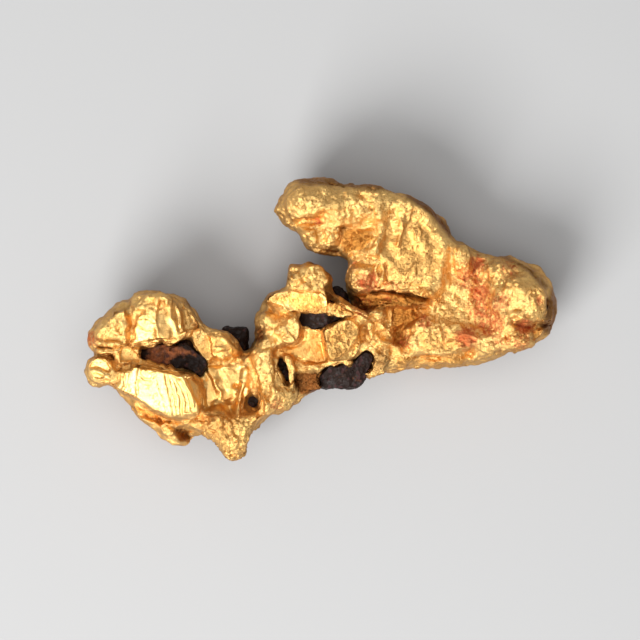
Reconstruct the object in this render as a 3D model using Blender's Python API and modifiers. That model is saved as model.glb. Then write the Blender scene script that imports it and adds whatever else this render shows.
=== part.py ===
"""A gold nugget with dark ironstone lodged in it.

The nugget lies on its back. Its length runs along X, its width along Y, and the face that
shows looks up, along +Z. The origin is on the surface that it rests on, under the middle of
its box. Every size below is a real one in millimetres, and MM turns it into metres.

The gold is one piece that grew as one: flat lobes and round lumps are swollen from their
outlines, melted together by a voxel remesh, marked with folds, ledges and pits, and roughened.
Each piece of ironstone is a broken chip that sits in its own pocket in the gold.
"""

import math
from dataclasses import dataclass

import bmesh
import bpy
import numpy as np
from mathutils import Euler, Matrix, Vector, kdtree, noise

MM = 0.001

# Driving dimensions, in millimetres.
MELT_VOXEL = 0.34        # grid on which the lobes and lumps are melted into one skin
SKIN_VOXEL = 0.28        # grid of the finished skin, which keeps the marks' edges
LOBE_VOXEL = 0.55        # grid of one lobe before it swells
LOBE_SLAB = 2.4          # thickness of the slab that a lobe swells from
TRIM = 0.08              # taken off the melted skin, which the grid leaves a little proud
SOFTEN_PASSES = 3        # smoothing passes over the creases between the lobes
GOLD_TRIANGLES = 6800    # the gold's share, before its pockets are cut
STONE_TRIANGLES = 170    # each chip's share, and each pocket cutter's
SWELL_WAVE = 3.4         # width and depth of the gold's broad swellings, before its facets
SWELL_DEPTH = 0.45
LUMP_WAVE = 1.5          # and of the lumps all over it, after them
LUMP_DEPTH = 0.22
BREAK_WAVE = 0.9         # and of a chip's broken surface
BREAK_DEPTH = 0.3
TOP_SQUARENESS = 2.5     # 2 makes a lobe's edge a quarter ellipse, larger a squarer one
UNDER_SQUARENESS = 1.7   # the underside is rounder
UNDER_REACH = 2.6        # and its edge reaches this many times further in than the top's
POCKET_GAP = 0.3         # clearance between a chip and the pocket that holds it
POCKET_VOXEL = 0.25      # grid on which a grown chip is melted into a clean cutter
POCKET_REACH = 6.0       # how far above its chip an open pocket is cut
MERGE = 0.002            # points closer than this are one point
CURVE_STEPS = 6          # straight runs between two points of a lobe's outline
LUMP_SUBDIVISIONS = 4    # fineness of a lump's ball
FACING_GAIN = 3.0        # marks and facets fade out where the face leans past 70 degrees
SEED_STRIDE = (7.1, 3.7, 5.3)   # how far apart two seeds read the noise, in its own waves

GOLD = ("native gold", (0.83, 0.60, 0.26, 1.0), 0.36, 1.0)
IRONSTONE = ("ironstone", (0.045, 0.032, 0.035, 1.0), 0.62, 0.0)


@dataclass
class Lobe:
    """A flat swelling of the gold: an outline, and the levels that its two faces reach."""

    outline: tuple
    top: float
    bottom: float
    edge: float
    lean: tuple = (0.0, 0.0)   # rise of the top face per millimetre along X and along Y
    angular: bool = False      # straight breaks between the points in place of a smooth curve


@dataclass
class Lump:
    """A round swelling: an ellipsoid with its centre, its radii and its turn in degrees."""

    centre: tuple
    radii: tuple
    turn: tuple = (0, 0, 0)


@dataclass
class Mark:
    """One pass of a modelling tool along a path on the face, raising or sinking it."""

    path: tuple
    width: float
    height: float
    crisp: float = 1.0         # 1 gives a round bead or groove, larger a narrower crest


@dataclass
class Facet:
    """A flat face on the side that looks up: its outline, its level in the middle and its lean.

    A facet that cuts only takes off what stands above it, which leaves a sharp edge. One that
    doesn't also fills what lies below it, as a pressed dent or a smooth hollow does.
    """

    outline: tuple
    level: float
    lean: tuple
    blend: float
    cuts: bool = True


LOBES = {
    "crown": Lobe(
        ((-25.6, -1.9), (-25.0, -0.6), (-23.4, 0.7), (-21.5, 2.0), (-19.5, 3.1), (-18.0, 3.3),
         (-16.2, 2.8), (-15.2, 2.7), (-14.3, 1.6), (-13.4, 0.2), (-12.5, -1.0), (-13.6, -1.8),
         (-15.0, -2.6), (-17.8, -3.0), (-20.6, -3.3), (-24.2, -3.6), (-25.3, -3.2)),
        top=14.0, bottom=0.8, edge=2.4, lean=(0.12, -0.05)),
    "block": Lobe(
        ((-23.0, -6.2), (-21.8, -5.0), (-19.8, -4.5), (-17.5, -5.0), (-15.5, -5.4), (-13.9, -5.9),
         (-12.9, -7.2), (-12.7, -9.6), (-13.9, -11.0), (-15.8, -11.0), (-18.3, -9.8), (-20.3, -8.6),
         (-21.8, -8.2), (-22.8, -7.6)),
        top=14.8, bottom=0.9, edge=1.5, lean=(0.06, 0.16)),
    "shelf": Lobe(
        ((-23.8, -6.5), (-22.6, -8.1), (-21.3, -9.2), (-20.5, -10.8), (-19.3, -11.8), (-17.8, -12.8),
         (-16.4, -13.5), (-15.0, -13.7), (-14.4, -13.1), (-14.0, -12.5), (-13.0, -12.4), (-11.0, -11.0),
         (-11.0, -4.0), (-18.0, -2.0), (-24.0, -2.6)),
        top=9.8, bottom=0.8, edge=2.0),
    "basin": Lobe(
        ((-14.0, -3.5), (-12.2, -1.3), (-10.5, -1.2), (-9.6, -2.3), (-8.7, -3.1), (-7.4, -2.8),
         (-7.0, -0.5), (-6.0, 0.0), (-3.0, -1.0), (-2.0, -5.0), (-1.8, -8.3), (-3.0, -9.7),
         (-5.4, -10.4), (-7.0, -12.0), (-10.0, -12.5), (-13.0, -12.4), (-14.0, -9.0)),
        top=9.4, bottom=2.4, edge=2.0, lean=(-0.10, 0.05)),
    "tail": Lobe(
        ((-13.0, -12.4), (-12.2, -13.3), (-11.4, -14.0), (-10.9, -14.9), (-10.3, -15.6), (-9.6, -15.5),
         (-9.0, -15.3), (-8.3, -15.3), (-8.1, -14.2), (-7.6, -13.0), (-6.9, -11.9), (-5.6, -10.6),
         (-7.0, -9.5), (-9.0, -10.0), (-12.0, -9.8), (-13.2, -11.0)),
        top=11.0, bottom=2.6, edge=1.7),
    "column": Lobe(
        ((-7.2, -2.0), (-7.1, -0.2), (-6.4, 1.0), (-5.0, 0.6), (-5.0, -3.0), (-4.8, -4.6),
         (-4.2, -6.6), (-2.2, -8.4), (-3.0, -9.7), (-4.5, -10.2), (-6.0, -10.9), (-6.8, -9.4),
         (-7.0, -7.0), (-7.8, -4.6)),
        top=11.5, bottom=3.4, edge=1.1),
    "cheek": Lobe(
        ((-6.8, 0.8), (-5.2, 0.7), (-2.7, 0.6), (-2.3, -0.5), (-2.0, -2.5), (-3.4, -3.0),
         (-5.5, -3.0), (-7.0, -1.5)),
        top=12.2, bottom=5.0, edge=0.7, lean=(0.20, -0.08)),
    "heart": Lobe(
        ((-7.0, -0.5), (-6.1, 2.0), (-5.0, 3.0), (-3.6, 3.6), (0.9, 3.0), (2.0, 1.9),
         (4.2, 1.0), (5.5, 0.3), (8.0, 0.0), (9.0, -3.0), (9.0, -5.4), (6.5, -6.1),
         (4.8, -6.5), (3.0, -6.9), (0.5, -7.2), (-1.6, -8.1), (-3.0, -9.0), (-6.0, -6.0)),
        top=9.6, bottom=1.8, edge=1.8),
    "crest": Lobe(
        ((-3.7, 5.9), (-2.3, 6.0), (-0.3, 6.2), (0.5, 5.4), (1.2, 4.3), (1.0, 3.2), (1.6, 2.4),
         (0.9, 0.9), (-2.5, 0.8), (-4.8, 1.1), (-6.2, 2.1), (-5.6, 2.7), (-5.0, 3.1),
         (-3.6, 3.6), (-3.8, 4.4), (-3.5, 4.8), (-3.8, 5.3)),
        top=12.2, bottom=4.2, edge=0.9, lean=(0.0, 0.12)),
    "flake": Lobe(
        ((0.1, -1.0), (1.0, -0.5), (3.8, -0.3), (4.5, -1.3), (4.3, -2.0), (3.9, -3.3), (3.2, -4.4),
         (2.0, -4.6), (1.0, -4.6), (0.7, -3.5), (0.1, -1.9)),
        top=12.6, bottom=8.0, edge=0.45, lean=(-0.12, 0.12)),
    "neck": Lobe(
        ((4.5, 1.0), (8.0, 1.8), (10.0, 0.0), (10.0, -5.2), (8.0, -5.7), (6.0, -6.3), (4.8, -6.8),
         (4.6, -5.0), (5.0, -3.0)),
        top=9.8, bottom=1.6, edge=1.4),
    "slab": Lobe(
        ((3.0, 2.0), (5.0, 1.0), (7.0, -3.0), (8.5, -5.5), (10.0, -5.4), (13.0, -5.2), (15.0, -5.2),
         (17.5, -4.8), (19.0, -4.3), (21.0, -3.7), (22.5, -3.6), (23.6, -2.7), (25.1, -1.3),
         (25.8, 0.2), (25.9, 1.5), (25.4, 3.0), (24.3, 4.4), (22.6, 6.0), (21.0, 6.7), (18.7, 7.0),
         (17.0, 7.7), (15.4, 8.5), (14.1, 10.2), (12.1, 12.4), (10.3, 13.6), (8.0, 14.3), (6.0, 14.6),
         (5.0, 10.0), (3.6, 6.0), (2.8, 4.0)),
        top=9.4, bottom=0.9, edge=1.9, lean=(0.06, 0.04)),
    "plate": Lobe(
        ((6.0, 3.1), (8.0, 3.1), (10.0, 2.8), (12.0, 2.0), (13.3, 2.5), (14.2, 5.0), (14.5, 8.3),
         (13.5, 10.6), (12.0, 12.3), (10.3, 13.4), (8.0, 14.1), (6.0, 14.4), (4.8, 13.0),
         (6.0, 10.0), (4.0, 7.3), (4.2, 6.5), (6.0, 5.5)),
        top=11.2, bottom=4.0, edge=1.0, lean=(-0.08, 0.06)),
    "arm": Lobe(
        ((7.0, 14.5), (3.0, 15.1), (1.0, 15.5), (-1.0, 15.6), (-2.6, 15.3), (-3.9, 14.6), (-4.5, 13.5),
         (-5.0, 12.6), (-5.3, 12.1), (-4.9, 11.6), (-4.4, 11.4), (-4.2, 10.7), (-3.5, 10.1),
         (-2.8, 9.9), (-1.0, 9.9), (2.0, 10.1), (5.0, 10.3), (8.0, 11.0)),
        top=12.8, bottom=1.2, edge=2.3),
    "hump": Lobe(
        ((-2.7, 10.2), (-2.1, 9.0), (-1.9, 8.2), (-1.0, 7.3), (0.0, 6.95), (1.2, 6.8), (2.4, 6.8),
         (3.5, 6.4), (5.0, 7.0), (6.5, 9.0), (6.0, 11.0), (0.0, 11.0)),
        top=11.2, bottom=3.0, edge=1.4, lean=(-0.15, 0.0)),
    "step": Lobe(
        ((9.7, -3.9), (9.4, -1.6), (11.0, 0.4), (14.0, -0.3), (17.8, -1.4), (17.5, -2.7),
         (16.0, -3.5), (13.5, -3.9), (11.0, -4.0)),
        top=10.6, bottom=4.0, edge=0.6, lean=(0.0, -0.1)),
    "end_face": Lobe(
        ((19.1, 0.6), (19.3, 3.4), (20.6, 4.9), (22.5, 5.1), (24.1, 3.9), (25.0, 2.2), (24.9, 0.4),
         (23.8, -0.6), (21.8, -0.4), (20.4, -0.2)),
        top=11.9, bottom=5.0, edge=2.0, lean=(-0.05, 0.0)),
    "end_foot": Lobe(
        ((17.4, -3.9), (17.6, -1.6), (19.4, -0.6), (22.0, -0.9), (23.6, -1.5), (23.9, -2.4),
         (22.4, -3.4), (20.8, -3.5), (19.0, -4.0)),
        top=10.6, bottom=4.0, edge=1.0, lean=(0.05, 0.0)),
}

LUMPS = {
    "knob": Lump((-24.15, -5.65, 9.6), (1.8, 1.85, 2.6)),
    "knob_root": Lump((-22.6, -5.4, 7.4), (2.2, 2.1, 3.4)),
    "tip": Lump((-24.7, -2.3, 9.4), (1.0, 1.2, 2.2)),
    "saddle": Lump((-11.3, -3.1, 9.0), (2.9, 1.95, 2.6), (0, 0, -12)),
    "ball": Lump((4.75, 4.7, 9.2), (2.0, 2.1, 2.8)),
    "rump": Lump((20.9, 1.9, 5.9), (4.9, 4.6, 6.1), (0, 0, 20)),
    "knuckle": Lump((15.6, 6.6, 9.7), (1.2, 1.7, 1.5)),
    "pad": Lump((19.6, 5.2, 9.6), (1.6, 1.1, 1.2), (0, 0, -15)),
    "ridge_arm": Lump((3.0, 1.1, 10.4), (3.1, 0.75, 1.3), (0, 8, -30)),
    "neck_bead": Lump((6.3, 0.6, 10.0), (1.0, 0.9, 1.1)),
    "neck_bead_low": Lump((6.9, -0.8, 9.8), (0.8, 0.7, 0.9)),
    "neck_curl": Lump((7.3, -2.5, 9.6), (1.1, 0.8, 1.1)),
    "tail_bead": Lump((-10.0, -14.9, 8.6), (0.85, 0.85, 1.2)),
    "tail_bead_small": Lump((-8.7, -14.8, 8.4), (0.6, 0.7, 1.0)),
    "tail_hump": Lump((-11.3, -11.0, 10.0), (1.5, 1.4, 1.7)),
    "tail_grain_left": Lump((-12.3, -12.6, 8.6), (0.9, 0.8, 1.1)),
    "tail_grain_middle": Lump((-10.4, -13.0, 9.6), (1.0, 0.9, 1.2)),
    "tail_grain_right": Lump((-8.6, -12.8, 9.4), (0.9, 1.1, 1.2)),
    "nose": Lump((-4.6, 12.0, 9.0), (0.8, 0.6, 1.2)),
    "foot_left": Lump((-18.4, -7.0, 2.2), (3.4, 2.6, 2.5)),
    "foot_middle": Lump((11.4, -2.6, 2.2), (3.6, 2.0, 2.45)),
    "foot_right": Lump((21.0, 1.6, 2.4), (3.0, 2.6, 2.6)),
    "foot_top": Lump((6.6, 12.0, 2.4), (3.2, 1.9, 2.65)),
}

FACETS = (
    # the crown's bright broken face, and the duller one that falls away beyond its crest
    Facet(((-21.4, -3.4), (-21.0, 0.6), (-19.6, 1.3), (-17.6, 1.2), (-17.6, -3.2)),
          12.9, (0.40, 0.10), 0.3),
    Facet(((-18.0, 2.6), (-15.0, 2.6), (-14.0, 0.0), (-14.0, -2.4), (-18.0, -3.0)),
          12.7, (-0.42, -0.06), 0.3),
    # the large ridged face of the block, and its rounded right end
    Facet(((-23.0, -7.6), (-21.8, -5.2), (-19.6, -4.4), (-15.4, -5.2), (-13.4, -6.6), (-12.8, -10.4),
           (-15.4, -11.4), (-18.4, -10.2), (-21.0, -8.6)), 13.6, (-0.04, 0.28), 0.3),
    # the knob's flat top
    Facet(((-26.0, -5.4), (-24.8, -3.8), (-23.0, -4.0), (-22.4, -5.6), (-23.2, -7.4), (-25.2, -7.2)),
          11.9, (0.16, 0.24), 0.3),
    # the plate, a little hollow, with a lip along its lower edge
    Facet(((6.6, 3.7), (9.4, 3.6), (12.0, 3.3), (13.6, 3.9), (14.1, 6.0), (13.9, 8.8), (12.9, 10.9),
           (11.0, 12.4), (8.4, 12.9), (6.6, 12.4), (6.4, 9.8), (5.0, 7.4), (6.9, 6.0)),
          10.7, (-0.06, 0.04), 1.3, cuts=False),
    # the flake, its bevel, and the bowl beside it
    Facet(((-0.2, -0.6), (1.0, -0.2), (4.2, 0.0), (5.0, -1.4), (2.2, -4.9), (0.6, -4.9)),
          12.3, (-0.16, 0.10), 0.2),
    Facet(((5.2, -1.6), (4.4, -1.4), (2.0, -4.2), (2.0, -5.0), (3.6, -4.8)), 11.5, (-0.62, 0.42), 0.2),
    Facet(((-4.8, -3.0), (-2.0, -2.4), (-2.0, -0.7), (-0.4, -1.1), (0.3, -2.6), (0.9, -4.8),
           (-1.0, -5.2), (-3.0, -4.2)), 8.9, (-0.05, 0.10), 0.6, cuts=False),
    # the cheek's two facets, and the smooth ledge of the crest above it
    Facet(((-4.4, -2.9), (-3.9, 0.9), (-2.0, 0.9), (-1.8, -3.0)), 12.2, (0.34, 0.10), 0.2),
    Facet(((-7.0, -1.8), (-6.4, 0.9), (-4.0, 0.9), (-4.4, -3.0)), 11.5, (-0.10, 0.34), 0.3),
    Facet(((-5.6, 1.9), (-3.4, 3.2), (-0.6, 3.3), (1.0, 2.6), (1.2, 1.2), (-2.4, 0.9), (-4.6, 1.1)),
          11.6, (0.04, 0.28), 0.5, cuts=False),
    Facet(((-2.0, 3.4), (-1.8, 6.4), (0.4, 6.2), (1.6, 4.4), (0.8, 3.2)), 12.4, (-0.22, -0.10), 0.3),
    # the recessed face beside the step, the step's top, and the worn end
    Facet(((7.7, -2.6), (7.7, 1.2), (9.6, 1.7), (11.2, 1.5), (11.4, 0.2), (9.6, -1.0), (9.2, -3.0)),
          8.6, (0.0, -0.05), 0.7, cuts=False),
    Facet(((9.6, -4.2), (9.4, -1.4), (11.4, 0.4), (14.6, 0.0), (18.0, -1.4), (16.2, -3.8),
           (13.0, -4.2)), 10.3, (-0.03, 0.10), 0.3),
    Facet(((19.4, 0.6), (19.6, 3.6), (21.2, 4.9), (23.4, 4.6), (25.2, 2.9), (25.2, 0.6), (23.8, -0.6),
           (21.2, -0.2)), 11.6, (-0.10, 0.10), 0.6),
    # the hollow between the arm and the ball
    Facet(((2.2, 7.6), (2.0, 9.2), (3.6, 9.9), (6.0, 10.2), (6.0, 8.8), (4.4, 7.6), (3.4, 7.1)),
          8.9, (-0.05, 0.16), 0.8, cuts=False),
)

MARKS = (
    # the crown: its valley, its rim, the folds across its bright face and beyond its crest
    Mark(((-21.3, 2.0), (-21.4, 0.2), (-21.2, -3.0)), 1.0, -1.0),
    Mark(((-23.0, 0.2), (-22.2, -1.6)), 0.9, 0.7),
    Mark(((-24.3, -1.4), (-23.6, -2.6)), 0.7, -0.6),
    Mark(((-20.6, 2.0), (-18.2, 2.6), (-16.0, 2.3)), 0.8, 0.5),
    Mark(((-20.3, -0.5), (-19.3, -0.3), (-18.1, -0.7)), 0.35, -0.35),
    Mark(((-20.4, -1.5), (-19.2, -1.3), (-18.0, -1.7)), 0.35, -0.35),
    Mark(((-16.9, 2.0), (-16.4, 0.4), (-15.3, -1.6)), 0.6, 0.55),
    Mark(((-14.9, 2.2), (-14.2, 0.2), (-14.3, -1.2)), 0.8, -0.6),
    # the saddle between crown, knob and block
    Mark(((-24.6, -3.6), (-22.6, -3.7), (-20.6, -4.0)), 1.1, -0.7),
    Mark(((-22.2, -4.4), (-21.9, -6.0), (-22.6, -7.2)), 0.7, -1.0),
    Mark(((-25.0, -5.9), (-24.2, -5.2), (-23.4, -4.8)), 0.4, -0.4),
    # ridges down the block's face, its curled end, and its left steps
    Mark(((-17.6, -5.6), (-15.8, -8.0), (-14.9, -10.2)), 0.36, 0.4),
    Mark(((-16.7, -5.8), (-15.0, -8.2), (-14.1, -10.2)), 0.36, 0.42),
    Mark(((-15.8, -6.0), (-14.3, -8.2), (-13.5, -9.8)), 0.36, 0.4),
    Mark(((-18.6, -5.6), (-17.2, -7.6), (-16.2, -10.0)), 0.4, 0.3),
    Mark(((-19.6, -5.2), (-18.6, -6.3), (-17.6, -5.9)), 0.45, -0.5),
    Mark(((-21.6, -6.2), (-20.4, -7.2), (-20.2, -8.3)), 0.6, -0.6),
    Mark(((-20.4, -5.8), (-19.2, -8.6)), 0.7, -0.4),
    # the shelf under the block, and the cavity at its end
    Mark(((-21.8, -8.7), (-19.2, -10.3), (-16.4, -11.4), (-15.4, -11.6)), 0.8, -1.8),
    Mark(((-16.0, -11.7), (-14.2, -11.5), (-13.0, -11.9)), 0.6, 1.2),
    Mark(((-15.2, -12.5), (-14.5, -13.2)), 0.9, -2.6),
    # the basin: ridges down it, the two pits, and the lens between them
    Mark(((-11.9, -5.3), (-11.2, -7.0), (-10.3, -8.8)), 0.45, 0.6),
    Mark(((-13.2, -6.9), (-12.6, -8.6), (-12.2, -9.8)), 0.7, -0.9),
    Mark(((-10.4, -5.4), (-9.7, -6.6)), 0.5, 0.35),
    Mark(((-9.35, -7.4),), 0.6, -1.8),
    Mark(((-7.6, -8.8), (-7.4, -9.3)), 0.95, -3.2),
    Mark(((-9.0, -9.0), (-9.1, -10.4)), 0.5, 0.9),
    Mark(((-8.2, -4.6), (-8.3, -6.6), (-8.9, -8.2), (-8.6, -9.0)), 0.6, 0.8),
    Mark(((-6.2, -8.4), (-6.4, -10.0), (-7.0, -10.8)), 0.7, 0.8),
    Mark(((-12.6, -10.9), (-10.2, -9.9), (-9.6, -10.8)), 0.7, -0.7),
    # the saddle lump's creases
    Mark(((-13.6, -1.9), (-11.2, -1.6), (-10.0, -2.6)), 0.5, 0.5),
    Mark(((-13.5, -2.8), (-12.0, -2.4), (-11.1, -3.4)), 0.4, -0.4),
    Mark(((-12.2, -4.6), (-10.2, -4.7), (-8.6, -4.0)), 0.6, -0.7),
    Mark(((-10.9, -5.2), (-8.6, -4.3), (-7.4, -3.4)), 0.5, 0.5),
    # the column's left wall, the slot and the blade beside it
    Mark(((-7.9, -3.4), (-6.7, -1.6), (-6.6, -0.2)), 0.8, -0.8),
    Mark(((-4.6, -5.2), (-4.3, -4.6), (-4.1, -5.4), (-3.7, -6.9)), 0.55, -3.6),
    Mark(((-3.75, -4.1), (-3.3, -5.4), (-3.0, -6.9)), 0.45, 1.9),
    Mark(((-2.4, -4.8), (-1.9, -6.6)), 0.8, -0.6),
    Mark(((-5.4, -5.2), (-5.6, -8.0)), 1.0, 0.4),
    # the bowl's rim, the crest's notches and ledge, the arm that runs down from it
    Mark(((-2.4, -5.2), (0.8, -5.1)), 0.7, 0.5),
    Mark(((-4.2, 5.1), (-3.0, 5.0)), 0.4, -2.2),
    Mark(((-2.1, 6.2), (-1.9, 4.4), (-2.6, 3.6)), 0.5, -0.5),
    Mark(((-3.8, 0.75), (-2.4, 0.8)), 0.4, 0.8),
    Mark(((-4.9, 0.3), (-3.9, 0.2)), 0.8, -1.4),
    Mark(((1.2, 3.0), (2.0, 1.9), (4.2, 0.9), (5.4, -0.4), (5.5, -1.6)), 0.55, 1.1),
    Mark(((4.7, -1.2), (4.9, -2.2), (4.2, -3.6)), 0.5, -1.2),
    # the plate's lip, the hollow under it, and the ridges that run down the plate
    Mark(((3.4, 2.4), (5.6, 2.5), (8.0, 2.4), (11.6, 1.7)), 0.8, -2.6),
    Mark(((6.2, 3.3), (8.4, 3.2), (10.2, 2.8), (11.9, 2.9)), 0.45, 0.7),
    Mark(((7.2, 4.4), (9.4, 4.0), (11.0, 3.4)), 0.5, -0.4),
    Mark(((8.6, 8.0), (8.8, 9.8), (9.3, 12.0)), 0.5, 0.6),
    Mark(((10.3, 9.9), (11.0, 8.4)), 0.45, 0.5),
    Mark(((10.2, 4.8), (10.6, 6.2)), 0.4, 0.4),
    Mark(((11.6, 6.8), (11.6, 9.4)), 0.4, 0.3),
    Mark(((4.8, 7.1), (6.0, 7.0), (6.3, 8.6)), 0.6, 0.9),
    Mark(((12.2, 1.2), (12.8, 2.6)), 0.6, 0.6),
    # the ball's seam, and the creases round the neck
    Mark(((4.6, 7.0), (6.2, 6.6), (7.2, 5.6), (7.2, 4.0)), 0.6, -0.9),
    Mark(((6.5, 5.6), (6.5, 4.2)), 0.35, -0.4),
    Mark(((6.85, 5.2), (6.85, 4.2)), 0.35, 0.5),
    Mark(((7.0, 1.6), (7.4, 0.2), (7.4, -1.4)), 0.5, -0.6),
    Mark(((6.6, -1.7), (8.0, -2.0)), 0.5, -0.7),
    Mark(((6.3, -3.3), (7.9, -3.4), (8.2, -4.4)), 0.6, -0.5),
    # the step's foot, the recess left of it, the rim below, and its nick
    Mark(((9.5, -3.6), (9.2, -2.2), (9.8, -1.2)), 0.5, -1.2),
    Mark(((9.8, -4.3), (13.4, -4.2), (16.2, -3.7)), 0.45, -0.9),
    Mark(((10.2, -4.9), (13.2, -4.8), (16.0, -4.6)), 0.5, 0.4),
    Mark(((16.3, -4.2), (16.7, -3.2)), 0.6, -0.9),
    Mark(((15.2, -1.7), (16.4, -1.6), (17.4, -2.4)), 0.5, 0.4),
    Mark(((12.8, -0.2), (12.9, -1.4), (12.2, -2.6)), 0.5, 0.4),
    # the valley before the nugget's end, and its cracks
    Mark(((17.6, 4.4), (17.2, 2.4)), 1.1, -0.6),
    Mark(((17.9, 1.4), (18.6, -0.8)), 1.2, -0.5),
    Mark(((14.6, 8.0), (14.3, 5.8), (15.0, 4.6)), 0.7, -0.5),
    Mark(((16.6, 7.6), (17.2, 6.2), (17.4, 5.0)), 0.8, -0.9),
    Mark(((21.2, -0.4), (22.8, -0.9), (23.9, -0.7), (25.4, -0.7)), 0.7, -1.5),
    Mark(((24.4, -0.1), (24.7, 1.2), (24.6, 2.6)), 0.5, 0.5),
    Mark(((20.6, 5.0), (22.2, 5.0), (23.4, 4.3)), 0.6, -0.5),
    Mark(((21.2, 4.0), (22.4, 3.6), (23.6, 3.2)), 0.5, 0.5),
    Mark(((19.4, 3.2), (19.2, 1.4)), 0.7, 0.5),
    Mark(((20.4, -2.6), (22.6, -2.4)), 0.7, 0.5),
    # the arm: its nose, the fold under it, the pit and the lumps of the hump below
    Mark(((-5.0, 11.3), (-3.6, 11.6), (-2.6, 11.0)), 0.5, -0.7),
    Mark(((-2.6, 10.6), (-0.6, 10.9), (0.8, 11.6)), 0.6, -1.1),
    Mark(((-1.5, 11.0),), 0.5, -0.8),
    Mark(((-2.2, 10.0), (-0.9, 9.2), (-0.6, 8.6)), 0.7, 0.7),
    Mark(((0.8, 8.4), (2.0, 9.4)), 0.6, 0.7),
    Mark(((-0.4, 10.0), (0.0, 8.4)), 0.6, -0.6),
    Mark(((0.2, 7.6), (2.0, 7.5)), 0.7, -1.0),
    Mark(((3.9, 14.6), (4.4, 13.4), (5.6, 12.2)), 0.8, -0.5),
    Mark(((-3.4, 12.8), (-1.2, 12.9), (0.6, 12.2)), 1.0, 0.4),
)

UNDER_MARKS = (
    # furrows and hollows of the side that it lies on
    Mark(((-23.0, -3.6), (-18.0, -3.2), (-13.0, -4.6)), 1.8, 1.9),
    Mark(((-12.4, 0.0), (-11.6, -5.0), (-12.6, -9.0)), 1.6, 1.3),
    Mark(((-21.0, -9.6), (-16.6, -11.0)), 1.4, -0.8),
    Mark(((-5.4, -1.0), (-6.2, -5.0), (-5.0, -8.6)), 1.4, -1.0),
    Mark(((-2.0, 2.0), (0.0, -3.0), (1.0, -6.0)), 1.8, 1.2),
    Mark(((3.6, 9.0), (7.0, 7.4), (9.6, 3.0), (9.0, -1.0)), 2.0, 1.5),
    Mark(((4.6, -1.0), (6.4, -4.6)), 1.2, -0.9),
    Mark(((14.0, 8.6), (16.2, 4.0), (15.6, -0.4)), 1.8, 1.3),
    Mark(((12.6, 6.4), (12.0, 9.6)), 1.4, -0.9),
    Mark(((-4.0, 13.4), (-1.0, 12.4), (2.0, 12.8)), 1.2, -0.8),
    Mark(((-1.0, 9.0), (1.6, 9.6)), 1.0, 0.8),
    Mark(((22.6, -1.6), (24.0, 1.4), (22.4, 4.6)), 1.0, 0.7),
)

CHIPS = {
    "ironstone_seam": Lobe(
        ((-20.3, -3.5), (-18.0, -3.35), (-17.6, -2.75), (-17.1, -2.8), (-16.7, -3.3), (-16.0, -3.2),
         (-15.1, -2.7), (-14.4, -2.0), (-14.3, -3.1), (-13.5, -4.0), (-12.8, -4.9), (-12.9, -6.2),
         (-13.4, -6.1), (-14.2, -5.2), (-15.0, -5.1), (-15.7, -5.3), (-16.6, -4.9), (-18.0, -4.6),
         (-19.6, -4.2)),
        top=11.4, bottom=6.5, edge=0.5, lean=(-0.05, 0.05), angular=True),
    "ironstone_saddle": Lobe(
        ((-10.9, -1.0), (-9.6, -0.9), (-8.0, -1.0), (-7.9, -2.4), (-8.2, -4.2), (-10.7, -4.0)),
        top=6.9, bottom=3.4, edge=0.3, angular=True),
    "ironstone_crest": Lobe(
        ((-2.8, 1.6), (-2.4, -0.1), (-1.9, -0.5), (-0.9, -0.75), (0.1, -0.75), (0.6, -0.1),
         (1.7, 0.05), (2.9, 0.15), (2.6, 0.9), (0.5, 1.7), (-1.0, 2.0)),
        top=10.7, bottom=7.6, edge=0.3, angular=True),
    "ironstone_belly": Lobe(
        ((-0.3, -6.4), (0.4, -5.8), (1.1, -5.35), (2.0, -5.3), (3.5, -5.1), (4.1, -4.6), (4.7, -4.0),
         (5.2, -3.6), (5.8, -3.6), (5.7, -3.9), (5.4, -4.6), (5.6, -5.1), (5.0, -5.5), (4.5, -6.1),
         (4.6, -6.8), (4.1, -7.3), (3.0, -7.4), (0.6, -7.55), (0.3, -7.2), (-0.1, -6.8)),
        top=9.6, bottom=3.4, edge=0.5, lean=(0.08, 0.10), angular=True),
    "ironstone_gap": Lobe(
        ((1.3, 3.6), (2.2, 3.7), (2.7, 2.9), (2.9, 0.9), (1.3, 0.9)),
        top=7.3, bottom=4.4, edge=0.3, angular=True),
    "ironstone_grain_slot": Lobe(
        ((-4.7, -4.5), (-4.1, -4.2), (-3.8, -5.2), (-3.5, -7.0), (-4.0, -6.7), (-4.5, -5.6)),
        top=8.6, bottom=6.8, edge=0.3, angular=True),
    "ironstone_grain_pit": Lobe(
        ((-8.0, -8.8), (-7.4, -8.5), (-6.9, -8.9), (-6.9, -9.4), (-7.5, -9.7), (-8.0, -9.2)),
        top=8.0, bottom=6.0, edge=0.3, angular=True),
}

# Chips whose pocket is open above them: the gold closes round these and never covers them.
OPEN_POCKETS = ("ironstone_seam", "ironstone_belly", "ironstone_grain_slot", "ironstone_grain_pit")


def clear_scene():
    """Empties the scene, so that only the nugget is left in it."""
    for obj in list(bpy.data.objects):
        bpy.data.objects.remove(obj, do_unlink=True)


def add_object(name, mesh, collection):
    """Links a mesh to the collection as a named object."""
    obj = bpy.data.objects.new(name, mesh)
    collection.objects.link(obj)
    return obj


def baked(obj, name):
    """The object's evaluated mesh, as a new mesh, in place of the object."""
    bpy.context.view_layer.update()
    graph = bpy.context.evaluated_depsgraph_get()
    mesh = bpy.data.meshes.new_from_object(obj.evaluated_get(graph))
    mesh.transform(obj.matrix_world)
    mesh.name = name
    bpy.data.objects.remove(obj, do_unlink=True)
    return mesh


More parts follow.
